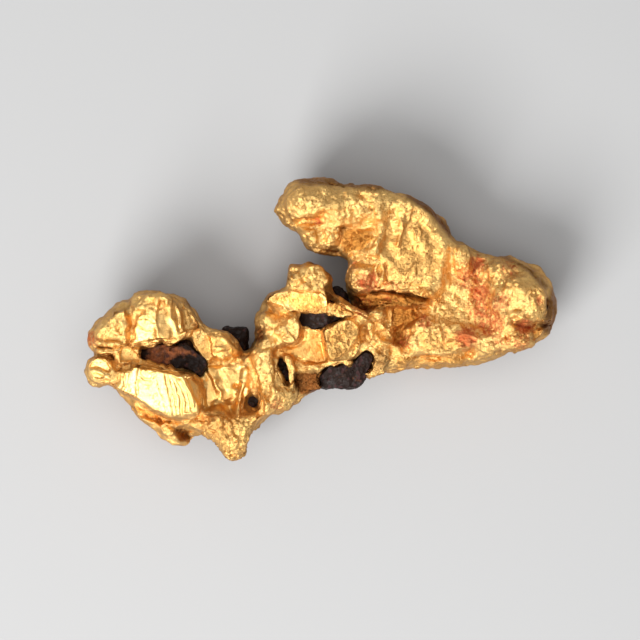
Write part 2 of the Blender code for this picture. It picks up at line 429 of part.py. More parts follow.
def outline_slab(name, outline, angular, thickness, collection):
    """A slab of the closed outline through the points, as a filled curve, made a mesh."""
    curve = bpy.data.curves.new(name, "CURVE")
    curve.dimensions = "2D"
    curve.fill_mode = "BOTH"
    curve.extrude = thickness * MM / 2
    curve.resolution_u = CURVE_STEPS
    spline = curve.splines.new("BEZIER")
    spline.bezier_points.add(len(outline) - 1)
    spline.use_cyclic_u = True
    handle = "VECTOR" if angular else "AUTO"
    for point, (x, y) in zip(spline.bezier_points, outline):
        point.co = (x * MM, y * MM, 0.0)
        point.handle_left_type = point.handle_right_type = handle
    mesh = baked(add_object(name, curve, collection), name)
    bm = bmesh.new()
    bm.from_mesh(mesh)
    bmesh.ops.remove_doubles(bm, verts=bm.verts, dist=MERGE * MM)
    bmesh.ops.recalc_face_normals(bm, faces=bm.faces)
    bm.to_mesh(mesh)
    bm.free()
    return mesh


def remeshed(name, mesh, voxel, collection):
    """The mesh melted into one even skin on a voxel grid."""
    obj = add_object(name, mesh, collection)
    modifier = obj.modifiers.new("melt", "REMESH")
    modifier.mode = "VOXEL"
    modifier.voxel_size = voxel * MM
    modifier.adaptivity = 0.0
    return baked(obj, name)


def rounded(share, squareness):
    """The height of a rounded edge, for a share of the way in from it."""
    inner = 1.0 - np.clip(share, 0.0, 1.0)
    return (1.0 - inner ** squareness) ** (1.0 / squareness)


def points_of(mesh):
    """The mesh's vertices as an array, in metres."""
    flat = np.empty(len(mesh.vertices) * 3)
    mesh.vertices.foreach_get("co", flat)
    return flat.reshape(-1, 3)


def normals_of(mesh):
    """The mesh's vertex normals as an array."""
    flat = np.empty(len(mesh.vertices) * 3)
    mesh.vertices.foreach_get("normal", flat)
    return flat.reshape(-1, 3)


def move_points(mesh, points):
    """Puts the mesh's vertices at these places."""
    mesh.vertices.foreach_set("co", points.ravel())
    mesh.update()


def swollen_lobe(name, lobe, collection):
    """The lobe as a mesh: a slab of its outline whose faces rise with the way in from the edge."""
    slab = outline_slab(name, lobe.outline, lobe.angular, LOBE_SLAB, collection)
    rim = kdtree.KDTree(len(slab.vertices))
    for i, vertex in enumerate(slab.vertices):
        rim.insert((vertex.co.x, vertex.co.y, 0.0), i)
    rim.balance()
    mesh = remeshed(name, slab, LOBE_VOXEL, collection)
    at = points_of(mesh)
    way_in = np.array([rim.find((x, y, 0.0))[2] for x, y, _ in at]) / MM
    side = np.clip(at[:, 2] / (LOBE_SLAB * MM / 2), -1.0, 1.0)
    x, y = at[:, 0] / MM, at[:, 1] / MM
    middle_x, middle_y = x.mean(), y.mean()
    waist = (lobe.top + lobe.bottom) / 2
    top = lobe.top + lobe.lean[0] * (x - middle_x) + lobe.lean[1] * (y - middle_y)
    above = (top - waist) * rounded(way_in / lobe.edge, TOP_SQUARENESS)
    below = (waist - lobe.bottom) * rounded(way_in / (lobe.edge * UNDER_REACH), UNDER_SQUARENESS)
    at[:, 2] = (waist + side * np.where(side > 0, above, below)) * MM
    move_points(mesh, at)
    return mesh


def lump_mesh(lump):
    """The lump as an ellipsoid."""
    bm = bmesh.new()
    bmesh.ops.create_icosphere(bm, subdivisions=LUMP_SUBDIVISIONS, radius=1.0)
    turn = Euler([math.radians(a) for a in lump.turn]).to_matrix().to_4x4()
    size = Matrix.Diagonal((*[r * MM for r in lump.radii], 1.0))
    place = Matrix.Translation([c * MM for c in lump.centre])
    bmesh.ops.transform(bm, matrix=place @ turn @ size, verts=bm.verts)
    mesh = bpy.data.meshes.new("lump")
    bm.to_mesh(mesh)
    bm.free()
    return mesh


def path_distance(x, y, path):
    """Each point's distance to the path's nearest stretch, in the path's own units."""
    nearest = np.hypot(x - path[0][0], y - path[0][1])
    for (ax, ay), (bx, by) in zip(path, path[1:]):
        run_x, run_y = bx - ax, by - ay
        along = ((x - ax) * run_x + (y - ay) * run_y) / (run_x ** 2 + run_y ** 2)
        along = np.clip(along, 0.0, 1.0)
        nearest = np.minimum(nearest, np.hypot(x - ax - along * run_x, y - ay - along * run_y))
    return nearest


def within(x, y, outline):
    """Which points lie inside the closed outline."""
    inside = np.zeros(len(x), dtype=bool)
    for (ax, ay), (bx, by) in zip(outline, outline[1:] + outline[:1]):
        spans = (y < ay) != (y < by)
        inside ^= spans & (x < ax + (y - ay) * (bx - ax) / (by - ay if by != ay else 1.0))
    return inside


def faced(mesh, facets):
    """Presses the facets into the side of the mesh that looks up."""
    for facet in facets:
        at, facing = points_of(mesh), normals_of(mesh)[:, 2]
        x, y = at[:, 0] / MM, at[:, 1] / MM
        way_in = path_distance(x, y, facet.outline + facet.outline[:1]) / facet.blend
        share = np.where(within(x, y, facet.outline), np.clip(way_in, 0.0, 1.0), 0.0)
        share = share * share * (3.0 - 2.0 * share) * np.clip(facing * FACING_GAIN, 0.0, 1.0)
        middle_x, middle_y = np.mean(facet.outline, axis=0)
        level = facet.level + facet.lean[0] * (x - middle_x) + facet.lean[1] * (y - middle_y)
        change = level * MM - at[:, 2]
        at[:, 2] += (np.minimum(change, 0.0) if facet.cuts else change) * share
        move_points(mesh, at)


def marked(mesh, marks, side=1.0):
    """Runs the marks over the side of the mesh that looks up, or with side -1 looks down."""
    for mark in marks:
        at, facing = points_of(mesh), normals_of(mesh)[:, 2] * side
        away = path_distance(at[:, 0] / MM, at[:, 1] / MM, mark.path) / mark.width
        fade = np.clip(1.0 - away * away, 0.0, 1.0) ** (2.0 * mark.crisp)
        at[:, 2] += fade * mark.height * MM * np.clip(facing * FACING_GAIN, 0.0, 1.0)
        move_points(mesh, at)


def roughened(mesh, wavelength, depth, seed):
    """Moves the surface in and out along its normals by smooth noise."""
    at, out = points_of(mesh), normals_of(mesh)
    offset = Vector(SEED_STRIDE) * seed
    shift = [noise.noise(Vector(p) / (wavelength * MM) + offset) for p in at]
    move_points(mesh, at + out * (np.array(shift)[:, None] * depth * MM))


def smoothed(mesh, passes, factor=0.5):
    """Relaxes the mesh's vertices towards their neighbours."""
    bm = bmesh.new()
    bm.from_mesh(mesh)
    for _ in range(passes):
        bmesh.ops.smooth_vert(bm, verts=bm.verts, factor=factor,
                              use_axis_x=True, use_axis_y=True, use_axis_z=True)
    bm.to_mesh(mesh)
    bm.free()
    mesh.update()


def joined(name, meshes):
    """All the meshes in one, still as separate bodies."""
    bm = bmesh.new()
    for mesh in meshes:
        bm.from_mesh(mesh)
    whole = bpy.data.meshes.new(name)
    bm.to_mesh(whole)
    bm.free()
    return whole


def gold_skin(collection):
    """The gold at full detail: lobes and lumps melted together, marked and roughened."""
    pieces = [swollen_lobe(name, lobe, collection) for name, lobe in LOBES.items()]
    pieces += [lump_mesh(lump) for lump in LUMPS.values()]
    skin = remeshed("gold", joined("gold", pieces), MELT_VOXEL, collection)
    smoothed(skin, SOFTEN_PASSES)
    move_points(skin, points_of(skin) - normals_of(skin) * TRIM * MM)
    roughened(skin, SWELL_WAVE, SWELL_DEPTH, seed=1)
    faced(skin, FACETS)
    marked(skin, MARKS)
    marked(skin, UNDER_MARKS, side=-1.0)
    roughened(skin, LUMP_WAVE, LUMP_DEPTH, seed=2)
    return remeshed("gold", skin, SKIN_VOXEL, collection)


def thinned(name, mesh, triangles, collection):
    """The mesh brought down to about this many triangles."""
    obj = add_object(name, mesh, collection)
    modifier = obj.modifiers.new("thin", "DECIMATE")
    modifier.ratio = min(1.0, triangles / sum(len(p.vertices) - 2 for p in mesh.polygons))
    return baked(obj, name)


def rested(mesh):
    """Wears the lowest lumps of the underside flat, level with the surface it rests on."""
    bm = bmesh.new()
    bm.from_mesh(mesh)
    everything = bm.verts[:] + bm.edges[:] + bm.faces[:]
    bmesh.ops.bisect_plane(bm, geom=everything, plane_co=(0, 0, 0),
                           plane_no=(0, 0, 1), clear_inner=True)
    worn = [edge for edge in bm.edges if edge.is_boundary]
    bmesh.ops.holes_fill(bm, edges=worn, sides=0)
    bmesh.ops.triangulate(bm, faces=[face for face in bm.faces if len(face.verts) > 3])
    bmesh.ops.recalc_face_normals(bm, faces=bm.faces)
    bm.to_mesh(mesh)
    bm.free()
    return mesh


def chip_mesh(name, chip, seed, collection):
    """A broken chip of ironstone: a swollen outline, roughened and thinned to flat breaks."""
    mesh = swollen_lobe(name, chip, collection)
    smoothed(mesh, 1)
    roughened(mesh, BREAK_WAVE, BREAK_DEPTH, seed)
    return thinned(name, mesh, STONE_TRIANGLES, collection)


def pocket_cutter(name, chip, opens, collection):
    """A hidden copy of the chip, grown by the clearance, that cuts its pocket."""
    mesh = chip.copy()
    out = normals_of(mesh)
    at = points_of(mesh) + out * POCKET_GAP * MM
    if opens:
        at[:, 2] += np.where(out[:, 2] > 0.0, POCKET_REACH * MM, 0.0)
    move_points(mesh, at)
    mesh = thinned(name, remeshed(name, mesh, POCKET_VOXEL, collection), STONE_TRIANGLES, collection)
    cutter = add_object(name, mesh, collection)
    cutter.hide_render = True
    cutter.display_type = "WIRE"
    return cutter


def painted(mesh, finish):
    """Gives the mesh its material."""
    name, colour, roughness, metallic = finish
    material = bpy.data.materials.get(name) or bpy.data.materials.new(name)
    material.use_nodes = True
    shader = material.node_tree.nodes["Principled BSDF"]
    shader.inputs["Base Color"].default_value = colour
    shader.inputs["Roughness"].default_value = roughness
    shader.inputs["Metallic"].default_value = metallic
    mesh.materials.clear()
    mesh.materials.append(material)


def build():
    """Builds the whole nugget: the gold, and the chips in the pockets that they cut."""
    clear_scene()
    collection = bpy.data.collections.new("gold nugget")
    cutters = bpy.data.collections.new("pocket cutters")
    for group in (collection, cutters):
        bpy.context.scene.collection.children.link(group)
    skin = gold_skin(collection)
    gold = add_object("gold", rested(thinned("gold", skin, GOLD_TRIANGLES, collection)), collection)
    painted(gold.data, GOLD)
    for seed, (name, chip) in enumerate(CHIPS.items(), start=11):
        mesh = chip_mesh(name, chip, seed, collection)
        painted(mesh, IRONSTONE)
        add_object(name, mesh, collection)
        pocket = gold.modifiers.new(f"pocket of {name}", "BOOLEAN")
        pocket.operation = "DIFFERENCE"
        pocket.solver = "EXACT"
        pocket.object = pocket_cutter(f"pocket_{name}", mesh, name in OPEN_POCKETS, cutters)


build()
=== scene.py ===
"""Looks of a nugget of native gold with dark ironstone lodged in it.

The nugget lies on its back on a pale floor and is seen from straight above. Its gold is a fine
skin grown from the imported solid: melted on a small grid, then worked like a sculptor's wax with
facets, ridges, grooves, pits and grain. Each chip of ironstone is grown into its pocket and
broken rough. Lengths in the tables are millimetres, and MM turns them into metres. A path or an
outline is written as a trace, "x,y x,y ...", seen from above.
"""

import logging
from dataclasses import dataclass, field
from enum import Enum
from typing import Any

import bmesh
import bpy
import numpy as np
from mathutils import Euler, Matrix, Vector, noise


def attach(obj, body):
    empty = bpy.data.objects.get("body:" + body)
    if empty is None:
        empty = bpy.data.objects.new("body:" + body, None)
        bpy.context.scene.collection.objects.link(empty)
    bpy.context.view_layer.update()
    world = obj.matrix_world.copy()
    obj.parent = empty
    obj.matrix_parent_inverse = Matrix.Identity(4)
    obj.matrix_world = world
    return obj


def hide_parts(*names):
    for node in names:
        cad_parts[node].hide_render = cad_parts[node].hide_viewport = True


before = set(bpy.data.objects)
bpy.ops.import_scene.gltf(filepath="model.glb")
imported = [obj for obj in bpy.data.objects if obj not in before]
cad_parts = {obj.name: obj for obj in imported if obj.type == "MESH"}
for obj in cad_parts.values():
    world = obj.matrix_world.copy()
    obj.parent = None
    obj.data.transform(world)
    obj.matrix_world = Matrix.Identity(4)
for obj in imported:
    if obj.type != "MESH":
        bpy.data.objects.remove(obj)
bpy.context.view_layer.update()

LOG = logging.getLogger("nugget")
MM = 0.001

# the tool works fully where the outward direction points up by more than one in this many
FACING_GAIN = 2.5
# the width over which a grainy stretch fades in, in millimetres
GRAIN_BLEND = 0.5
# how far a border strays, and over what distance, in millimetres
WANDER = 0.2
WANDER_WAVE = 0.9
# a stroke's mean pressure, and how much and over what distance it varies
PRESSURE = 0.85
PRESSURE_DRIFT = 0.25
PRESSURE_WAVE = 0.9
# how sharply the ground behind a step falls away
STEP_FALL = 1.5
# the usual mixing numbers of a sine hash
LATTICE_MIX = (127.1, 311.7, 74.7)
LATTICE_GAIN = 43758.5453
# how the lattice is turned for each seed, in radians, and how the grains are shifted
LATTICE_TURN = (1.1, 0.7, 1.9)
GRAIN_SHIFT = (17.13, 9.71, 5.39)
# the seed of the first region's grains, and how many seeds each region may take
GRAIN_SEED = 100
SEEDS_PER_REGION = 10
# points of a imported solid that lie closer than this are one, in millimetres
WELD = 0.002
# stands in for a sum of nothing, which can't be divided by
TINY = 1e-9
# how many steps a vertex group's weights are stored in
WEIGHT_STEPS = 10

Point = tuple[float, float]
Place = tuple[float, float, float]
Shape = tuple[Point, ...]


def points(trace: str) -> Shape:
    """The points of a trace such as "-20.7,1.4 -20.8,0", in millimetres."""
    return tuple((float(x), float(y)) for x, y in (pair.split(",") for pair in trace.split()))


def linear(hex_colour: str) -> tuple[float, float, float, float]:
    """Turns an sRGB hex colour into the linear colour that a shader takes.

    Args:
        hex_colour: six hex digits, such as "e6c27a".

    Returns:
        Linear red, green, blue and an alpha of 1.
    """
    channels = [int(hex_colour[i:i + 2], 16) / 255 for i in (0, 2, 4)]
    red, green, blue = (c / 12.92 if c <= 0.04045 else ((c + 0.055) / 1.055) ** 2.4 for c in channels)
    return red, green, blue, 1.0


def add_node(material: bpy.types.Material, kind: str, settings: dict[str, Any] | None = None,
             links: dict[Any, Any] | None = None) -> bpy.types.Node:
    """Adds one node to a material, with its settings and the sockets that feed it.

    Args:
        material: the material that gets the node.
        kind: the node's type, without its ShaderNode prefix.
        settings: attributes of the node, or values of its inputs, by name or index.
        links: the output socket that feeds each input, by the input's name or index.

    Returns:
        The new node.
    """
    node = material.node_tree.nodes.new("ShaderNode" + kind)
    for name, value in (settings or {}).items():
        if isinstance(name, str) and hasattr(node, name):
            setattr(node, name, value)
        else:
            node.inputs[name].default_value = value
    for name, source in (links or {}).items():
        material.node_tree.links.new(source, node.inputs[name])
    return node


class Noise(Enum):
    """The kinds of noise that roughen a surface."""

    GRAINS = "packed round grains"
    CRUMPLED = "flat faces that meet at creases, as in crumpled foil"


@dataclass(frozen=True)
class Facet:
    """A stretch of the top pressed towards one plane.

    Attributes:
        outline: the trace of its corners.
        lean: the plane's rise along x and along y.
        offset: how far the plane stands over the surface's mean, in millimetres.
        hold: how fully the surface is pressed to the plane, from 0 to 1.
        blend: the width of its border, in millimetres.
        level: the height of the plane's middle, in millimetres, where the surface's mean is no guide.
    """

    outline: str
    lean: Point = (0.0, 0.0)
    offset: float = 0.0
    hold: float = 0.8
    blend: float = 0.3
    level: float | None = None


@dataclass(frozen=True)
class Step:
    """A small cliff along a path: the ground left of the path is raised, and fades out.

    Attributes:
        path: its trace.
        width: how far the raised ground reaches, in millimetres.
        height: the cliff's height, in millimetres, less than 0 for a drop.
    """

    path: str
    width: float
    height: float


@dataclass(frozen=True)
class Stroke:
    """One pass of a round tool along a path seen from above.

    Attributes:
        path: its trace.
        width: the reach to either side of the path, in millimetres.
        height: how far the middle is raised, or sunk if negative, in millimetres.
    """

    path: str
    width: float
    height: float


@dataclass(frozen=True)
class Grain:
    """A grainy stretch of the top.

    Attributes:
        outline: the trace of its corners.
        size: the width of one grain, in millimetres.
        height: how far the grains stand out, in millimetres.
    """

    outline: str
    size: float
    height: float


@dataclass(frozen=True)
class Region:
    """One named part of the nugget's top, and the work that shapes it, in order."""

    facets: tuple[Facet, ...] = ()
    steps: tuple[Step, ...] = ()
    strokes: tuple[Stroke, ...] = ()
    grains: tuple[Grain, ...] = ()


@dataclass(frozen=True)
class Patch:
    """A stretch of the skin where a colour or a polish holds.

    Attributes:
        outline: the trace of its corners.
        amount: how strongly it holds inside, from 0 to 1.
        blend: the width over which it fades in, in millimetres.
    """

    outline: str
    amount: float
    blend: float = 0.6


@dataclass(frozen=True)
class Spot:
    """A round stain: its centre and its reach seen from above, in millimetres, and its strength."""

    centre: Point
    reach: float
    strength: float


@dataclass(frozen=True)
class Crumple:
    """One pass of crumpling: the width and the height of its faces, in millimetres, and its seed."""

    size: float
    height: float
    seed: int


@dataclass(frozen=True)
class Break:
    """A flat break: nothing of the stone is left beyond it.

    Attributes:
        spot: a place on the break, in millimetres.
        way: the way that it faces.
    """

    spot: Place
    way: Place


def distance_to(x: np.ndarray, y: np.ndarray, path: Shape) -> np.ndarray:
    """Each place's distance, in millimetres, to the nearest stretch of a path.

    Args:
        x: the places' first coordinates.
        y: the places' second coordinates.
        path: the path's points.

    Returns:
        One distance for each place.
    """
    nearest = np.hypot(x - path[0][0], y - path[0][1])
    for (ax, ay), (bx, by) in zip(path, path[1:]):
        run_x, run_y = bx - ax, by - ay
        along = np.clip(((x - ax) * run_x + (y - ay) * run_y) / (run_x ** 2 + run_y ** 2), 0.0, 1.0)
        nearest = np.minimum(nearest, np.hypot(x - ax - along * run_x, y - ay - along * run_y))
    return nearest


def inside(x: np.ndarray, y: np.ndarray, outline: Shape) -> np.ndarray:
    """Which places lie inside a closed outline.

    Args:
        x: the places' first coordinates.
        y: the places' second coordinates.
        outline: the outline's points.

    Returns:
        True or False for each place.
    """
    result = np.zeros(len(x), dtype=bool)
    for (ax, ay), (bx, by) in zip(outline, outline[1:] + outline[:1]):
        spans = (y < ay) != (y < by)
        result ^= spans & (x < ax + (y - ay) * (bx - ax) / (by - ay if by != ay else 1.0))
    return result


def fade_in(x: np.ndarray, y: np.ndarray, outline: Shape, blend: float) -> np.ndarray:
    """How fully each place lies inside an outline: 0 outside, 1 from the blend's width inwards.

    Args:
        x: the places' first coordinates.
        y: the places' second coordinates.
        outline: the outline's points.
        blend: the width of the fade.

    Returns:
        One value for each place.
    """
    way_in = np.clip(distance_to(x, y, outline + outline[:1]) / blend, 0.0, 1.0)
    return np.where(inside(x, y, outline), way_in * way_in * (3.0 - 2.0 * way_in), 0.0)


def left_of(x: np.ndarray, y: np.ndarray, path: Shape) -> np.ndarray:
    """Which places lie to the left of a path's nearest stretch.

    Args:
        x: the places' first coordinates.
        y: the places' second coordinates.
        path: the path's points.

    Returns:
        True or False for each place.
    """
    nearest = np.full(len(x), np.inf)
    left = np.zeros(len(x), dtype=bool)
    for start, end in zip(path, path[1:]):
        away = distance_to(x, y, (start, end))
        cross = (end[0] - start[0]) * (y - start[1]) - (end[1] - start[1]) * (x - start[0])
        left = np.where(away < nearest, cross > 0.0, left)
        nearest = np.minimum(away, nearest)
    return left


def lattice_value(corners: np.ndarray) -> np.ndarray:
    """A random value, from -1 to 1, for each corner of a lattice."""
    mixed = np.sin(corners @ np.array(LATTICE_MIX)) * LATTICE_GAIN
    return 2.0 * (mixed - np.floor(mixed)) - 1.0


def crumpled(cells: np.ndarray, seed: int) -> np.ndarray:
    """Random heights at a lattice's corners, joined by flat faces.

    Args:
        cells: the places, in cells of the lattice.
        seed: turns and shifts the lattice.

    Returns:
        One value for each place, from -1 to 1.
    """
    turn = Euler([angle * seed for angle in LATTICE_TURN])
    turned = cells @ np.array(turn.to_matrix()) + seed
    corner = np.floor(turned)
    part = turned - corner
    order = np.argsort(-part, axis=1)
    falls = np.take_along_axis(part, order, axis=1)
    falls = np.column_stack((falls, np.zeros(len(cells))))
    value = lattice_value(corner) * (1.0 - falls[:, 0])
    for step in range(3):
        corner[np.arange(len(cells)), order[:, step]] += 1.0
        value += lattice_value(corner) * (falls[:, step] - falls[:, step + 1])
    return value


def noise_at(places: np.ndarray, size: float, kind: Noise, seed: int) -> np.ndarray:
    """A seeded noise value at each place, from about -1 to 1.

    Args:
        places: the places, in millimetres.
        size: the width of one bump, in millimetres.
        kind: the kind of noise.
        seed: picks the stretch of noise.

    Returns:
        One value for each place.
    """
    if kind is Noise.CRUMPLED:
        return crumpled(places / size, seed)
    cells = (places / size + np.array(GRAIN_SHIFT) * seed).tolist()
    return np.array([1.0 - 2.0 * noise.voronoi(Vector(cell))[0][0] for cell in cells])


@dataclass
class Skin:
    """A mesh worked by moving its points, all at once, the way wax is worked.

    Attributes:
        mesh: the mesh that is worked.
        at: the points, in millimetres.
        out: the outward direction at each point.
        plan: the points seen from above, astray a little, so that no border runs true.
    """

    mesh: bpy.types.Mesh
    at: np.ndarray = field(init=False)
    out: np.ndarray = field(init=False)
    plan: np.ndarray = field(init=False)

    def __post_init__(self) -> None:
        """Reads the points and their outward directions."""
        self.at = self.read("co") / MM
        self.take_bearings()

    def take_bearings(self) -> None:
        """Works out the outward directions and the plan of the points."""
        self.out = self.read("normal")
        astray = [crumpled(self.at / WANDER_WAVE, seed) for seed in (61, 62)]
        self.plan = self.at[:, :2] + WANDER * np.column_stack(astray)

    def read(self, what: str) -> np.ndarray:
        """Three numbers for each point, from the mesh.

        Args:
            what: the name of what is read.

        Returns:
            One row for each point.
        """
        flat = np.empty(len(self.mesh.vertices) * 3, dtype=np.float32)
        self.mesh.vertices.foreach_get(what, flat)
        return flat.reshape(-1, 3).astype(float)

    def settle(self) -> None:
        """Writes the points to the mesh, and reads the outward directions again."""
        self.mesh.vertices.foreach_set("co", (self.at * MM).astype(np.float32).ravel())
        self.mesh.update()
        self.take_bearings()

    def relaxed(self, values: np.ndarray, passes: int) -> np.ndarray:
        """Evens values out between neighbouring points.

        Args:
            values: one row for each point.
            passes: how often each point moves half way to its neighbours' mean.

        Returns:
            The evened values.
        """
        ends = np.empty(len(self.mesh.edges) * 2, dtype=np.int32)
        self.mesh.edges.foreach_get("vertices", ends)
        first, second = ends.reshape(-1, 2).T
        count = len(self.at)
        near = np.bincount(ends, minlength=count).astype(float)
        evened = values.reshape(count, -1).astype(float)
        for _ in range(passes):
            for column in evened.T:
                total = (np.bincount(first, column[second], count)
                         + np.bincount(second, column[first], count))
                column += (total / near - column) / 2
        return evened

    def smooth(self, passes: int) -> None:
        """Relaxes the whole skin."""
        self.at = self.relaxed(self.at, passes)
        self.settle()

    def near(self, path: Shape, reach: float) -> np.ndarray:
        """The points that face up within a path's box, widened by a reach.

        Args:
            path: the path's points.
            reach: how far the box is widened, in millimetres.

        Returns:
            The points' numbers.
        """
        low = np.min(path, axis=0) - reach
        high = np.max(path, axis=0) + reach
        held = ((self.plan > low) & (self.plan < high)).all(axis=1)
        return np.flatnonzero(held & (self.out[:, 2] > 0.0))

    def facing(self, picked: np.ndarray) -> np.ndarray:
        """How squarely the picked points face up: 0 for a wall, 1 from a gentle slope on."""
        return np.clip(self.out[picked, 2] * FACING_GAIN, 0.0, 1.0)

    def press(self, facet: Facet) -> None:
        """Presses a stretch of the top towards a plane.

        Args:
            facet: the stretch and its plane.
        """
        outline = points(facet.outline)
        picked = self.near(outline, 0.0)
        x, y, z = self.at[picked].T
        share = fade_in(*self.plan[picked].T, outline, facet.blend) * self.facing(picked)
        weight = share / max(share.sum(), TINY)
        level = (z * weight).sum() + facet.offset if facet.level is None else facet.level
        plane = (level + facet.lean[0] * (x - (x * weight).sum())
                 + facet.lean[1] * (y - (y * weight).sum()))
        self.at[picked, 2] += (plane - z) * share * facet.hold

    def fault(self, step: Step) -> None:
        """Raises the ground on the left of a path.

        Args:
            step: the path, and how far and how high the ground is raised.
        """
        path = points(step.path)
        picked = self.near(path, step.width)
        x, y = self.plan[picked].T
        away = distance_to(x, y, path) / step.width
        share = np.clip(1.0 - away, 0.0, 1.0) ** STEP_FALL * left_of(x, y, path)
        self.at[picked, 2] += share * self.facing(picked) * step.height

    def stroke(self, stroke: Stroke) -> None:
        """Raises or sinks the ground along a path.

        Args:
            stroke: the path, and the tool's width and height.
        """
        path = points(stroke.path)
        picked = self.near(path, stroke.width)
        away = distance_to(*self.plan[picked].T, path) / stroke.width
        drift = noise_at(self.at[picked], PRESSURE_WAVE, Noise.CRUMPLED, 63)
        share = np.clip(1.0 - away, 0.0, 1.0) * (PRESSURE + PRESSURE_DRIFT * drift)
        self.at[picked, 2] += share * self.facing(picked) * stroke.height

    def grain(self, grain: Grain, seed: int) -> None:
        """Covers a stretch of the top in grains.

        Args:
            grain: the stretch and its grains.
            seed: picks the grains.
        """
        outline = points(grain.outline)
        picked = self.near(outline, 0.0)
        share = fade_in(*self.plan[picked].T, outline, GRAIN_BLEND)
        picked, share = picked[share > 0.0], share[share > 0.0]
        move = noise_at(self.at[picked], grain.size, Noise.GRAINS, seed) * grain.height * share
        self.at[picked] += self.out[picked] * move[:, None]

    def work(self, region: Region, seed: int) -> None:
        """Does all the work on one region.

        Args:
            region: the region.
            seed: picks the grains of its first grainy stretch.
        """
        for facet in region.facets:
            self.press(facet)
        self.settle()
        for step in region.steps:
            self.fault(step)
        for stroke in region.strokes:
            self.stroke(stroke)
        self.settle()
        for number, grain in enumerate(region.grains):
            self.grain(grain, seed + number)

    def share_of(self, patches: tuple[Patch, ...]) -> np.ndarray:
        """How strongly the patches hold at each point, from 0 to 1.

        Args:
            patches: the patches, of which the strongest counts.

        Returns:
            One value for each point.
        """
        share = np.zeros(len(self.at))
        for patch in patches:
            outline = points(patch.outline)
            picked = self.near(outline, 0.0)
            held = patch.amount * fade_in(*self.plan[picked].T, outline, patch.blend)
            share[picked] = np.maximum(share[picked], held)
        return share

    def crumple(self, crumple: Crumple, share: np.ndarray | float = 1.0) -> None:
        """Moves the skin in and out by crumpled noise.

        Args:
            crumple: the size, height and seed of the noise.
            share: how strongly it counts at each point.
        """
        move = noise_at(self.at, crumple.size, Noise.CRUMPLED, crumple.seed) * crumple.height * share
        self.at += self.out * move[:, None]
        self.settle()

    def hollow(self, passes: int) -> np.ndarray:
        """How deep each point lies below its evened surroundings, in millimetres."""
        return ((self.relaxed(self.at, passes) - self.at) * self.out).sum(axis=1)

    def store(self, name: str, values: np.ndarray) -> None:
        """Keeps one value for each point, for a material to read."""
        attribute = self.mesh.attributes.new(name, "FLOAT", "POINT")
        attribute.data.foreach_set("value", values.astype(np.float32))


def welded_copy(node: str) -> bpy.types.Mesh:
    """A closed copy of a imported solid's mesh, its loose triangles merged.

    Args:
        node: the solid's name.

    Returns:
        The merged mesh.
    """
    bm = bmesh.new()
    bm.from_mesh(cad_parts[node].data)
    bmesh.ops.remove_doubles(bm, verts=bm.verts, dist=WELD * MM)
    bmesh.ops.recalc_face_normals(bm, faces=bm.faces)
    mesh = bpy.data.meshes.new(node + "_skin")
    bm.to_mesh(mesh)
    bm.free()
    return mesh


def with_modifier(mesh: bpy.types.Mesh, kind: str, settings: dict[str, Any],
                  weights: np.ndarray | None = None) -> bpy.types.Mesh:
    """The mesh with one modifier applied.

    Args:
        mesh: the mesh that it starts from.
        kind: the modifier's type.
        settings: the modifier's settings.
        weights: a weight for each point, if the modifier reads a vertex group.

    Returns:
        The new mesh.
    """
    obj = bpy.data.objects.new("bench", mesh)
    bpy.context.scene.collection.objects.link(obj)
    if weights is not None:
        group = obj.vertex_groups.new(name="weights")
        for level in range(WEIGHT_STEPS + 1):
            members = np.flatnonzero(np.round(weights * WEIGHT_STEPS) == level)
            group.add(members.tolist(), level / WEIGHT_STEPS, "REPLACE")
    modifier = obj.modifiers.new(kind, kind)
    for name, value in settings.items():
        setattr(modifier, name, value)
    bpy.context.view_layer.update()
    graph = bpy.context.evaluated_depsgraph_get()
    result = bpy.data.meshes.new_from_object(obj.evaluated_get(graph))
    bpy.data.objects.remove(obj, do_unlink=True)
    return result


def add_piece(name: str, mesh: bpy.types.Mesh, material: bpy.types.Material,
              node: str) -> bpy.types.Object:
    """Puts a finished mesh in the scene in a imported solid's place.

    Args:
        name: the piece's name.
        mesh: its mesh, already in place.
        material: its material.
        node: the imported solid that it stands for.

    Returns:
        The new object.
    """
    mesh.materials.clear()
    mesh.materials.append(material)
    mesh.shade_smooth()
    piece = bpy.data.objects.new(name, mesh)
    bpy.context.scene.collection.objects.link(piece)
    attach(piece, "root")
    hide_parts(node)
    LOG.info("%s: %d faces", name, len(mesh.polygons))
    return piece


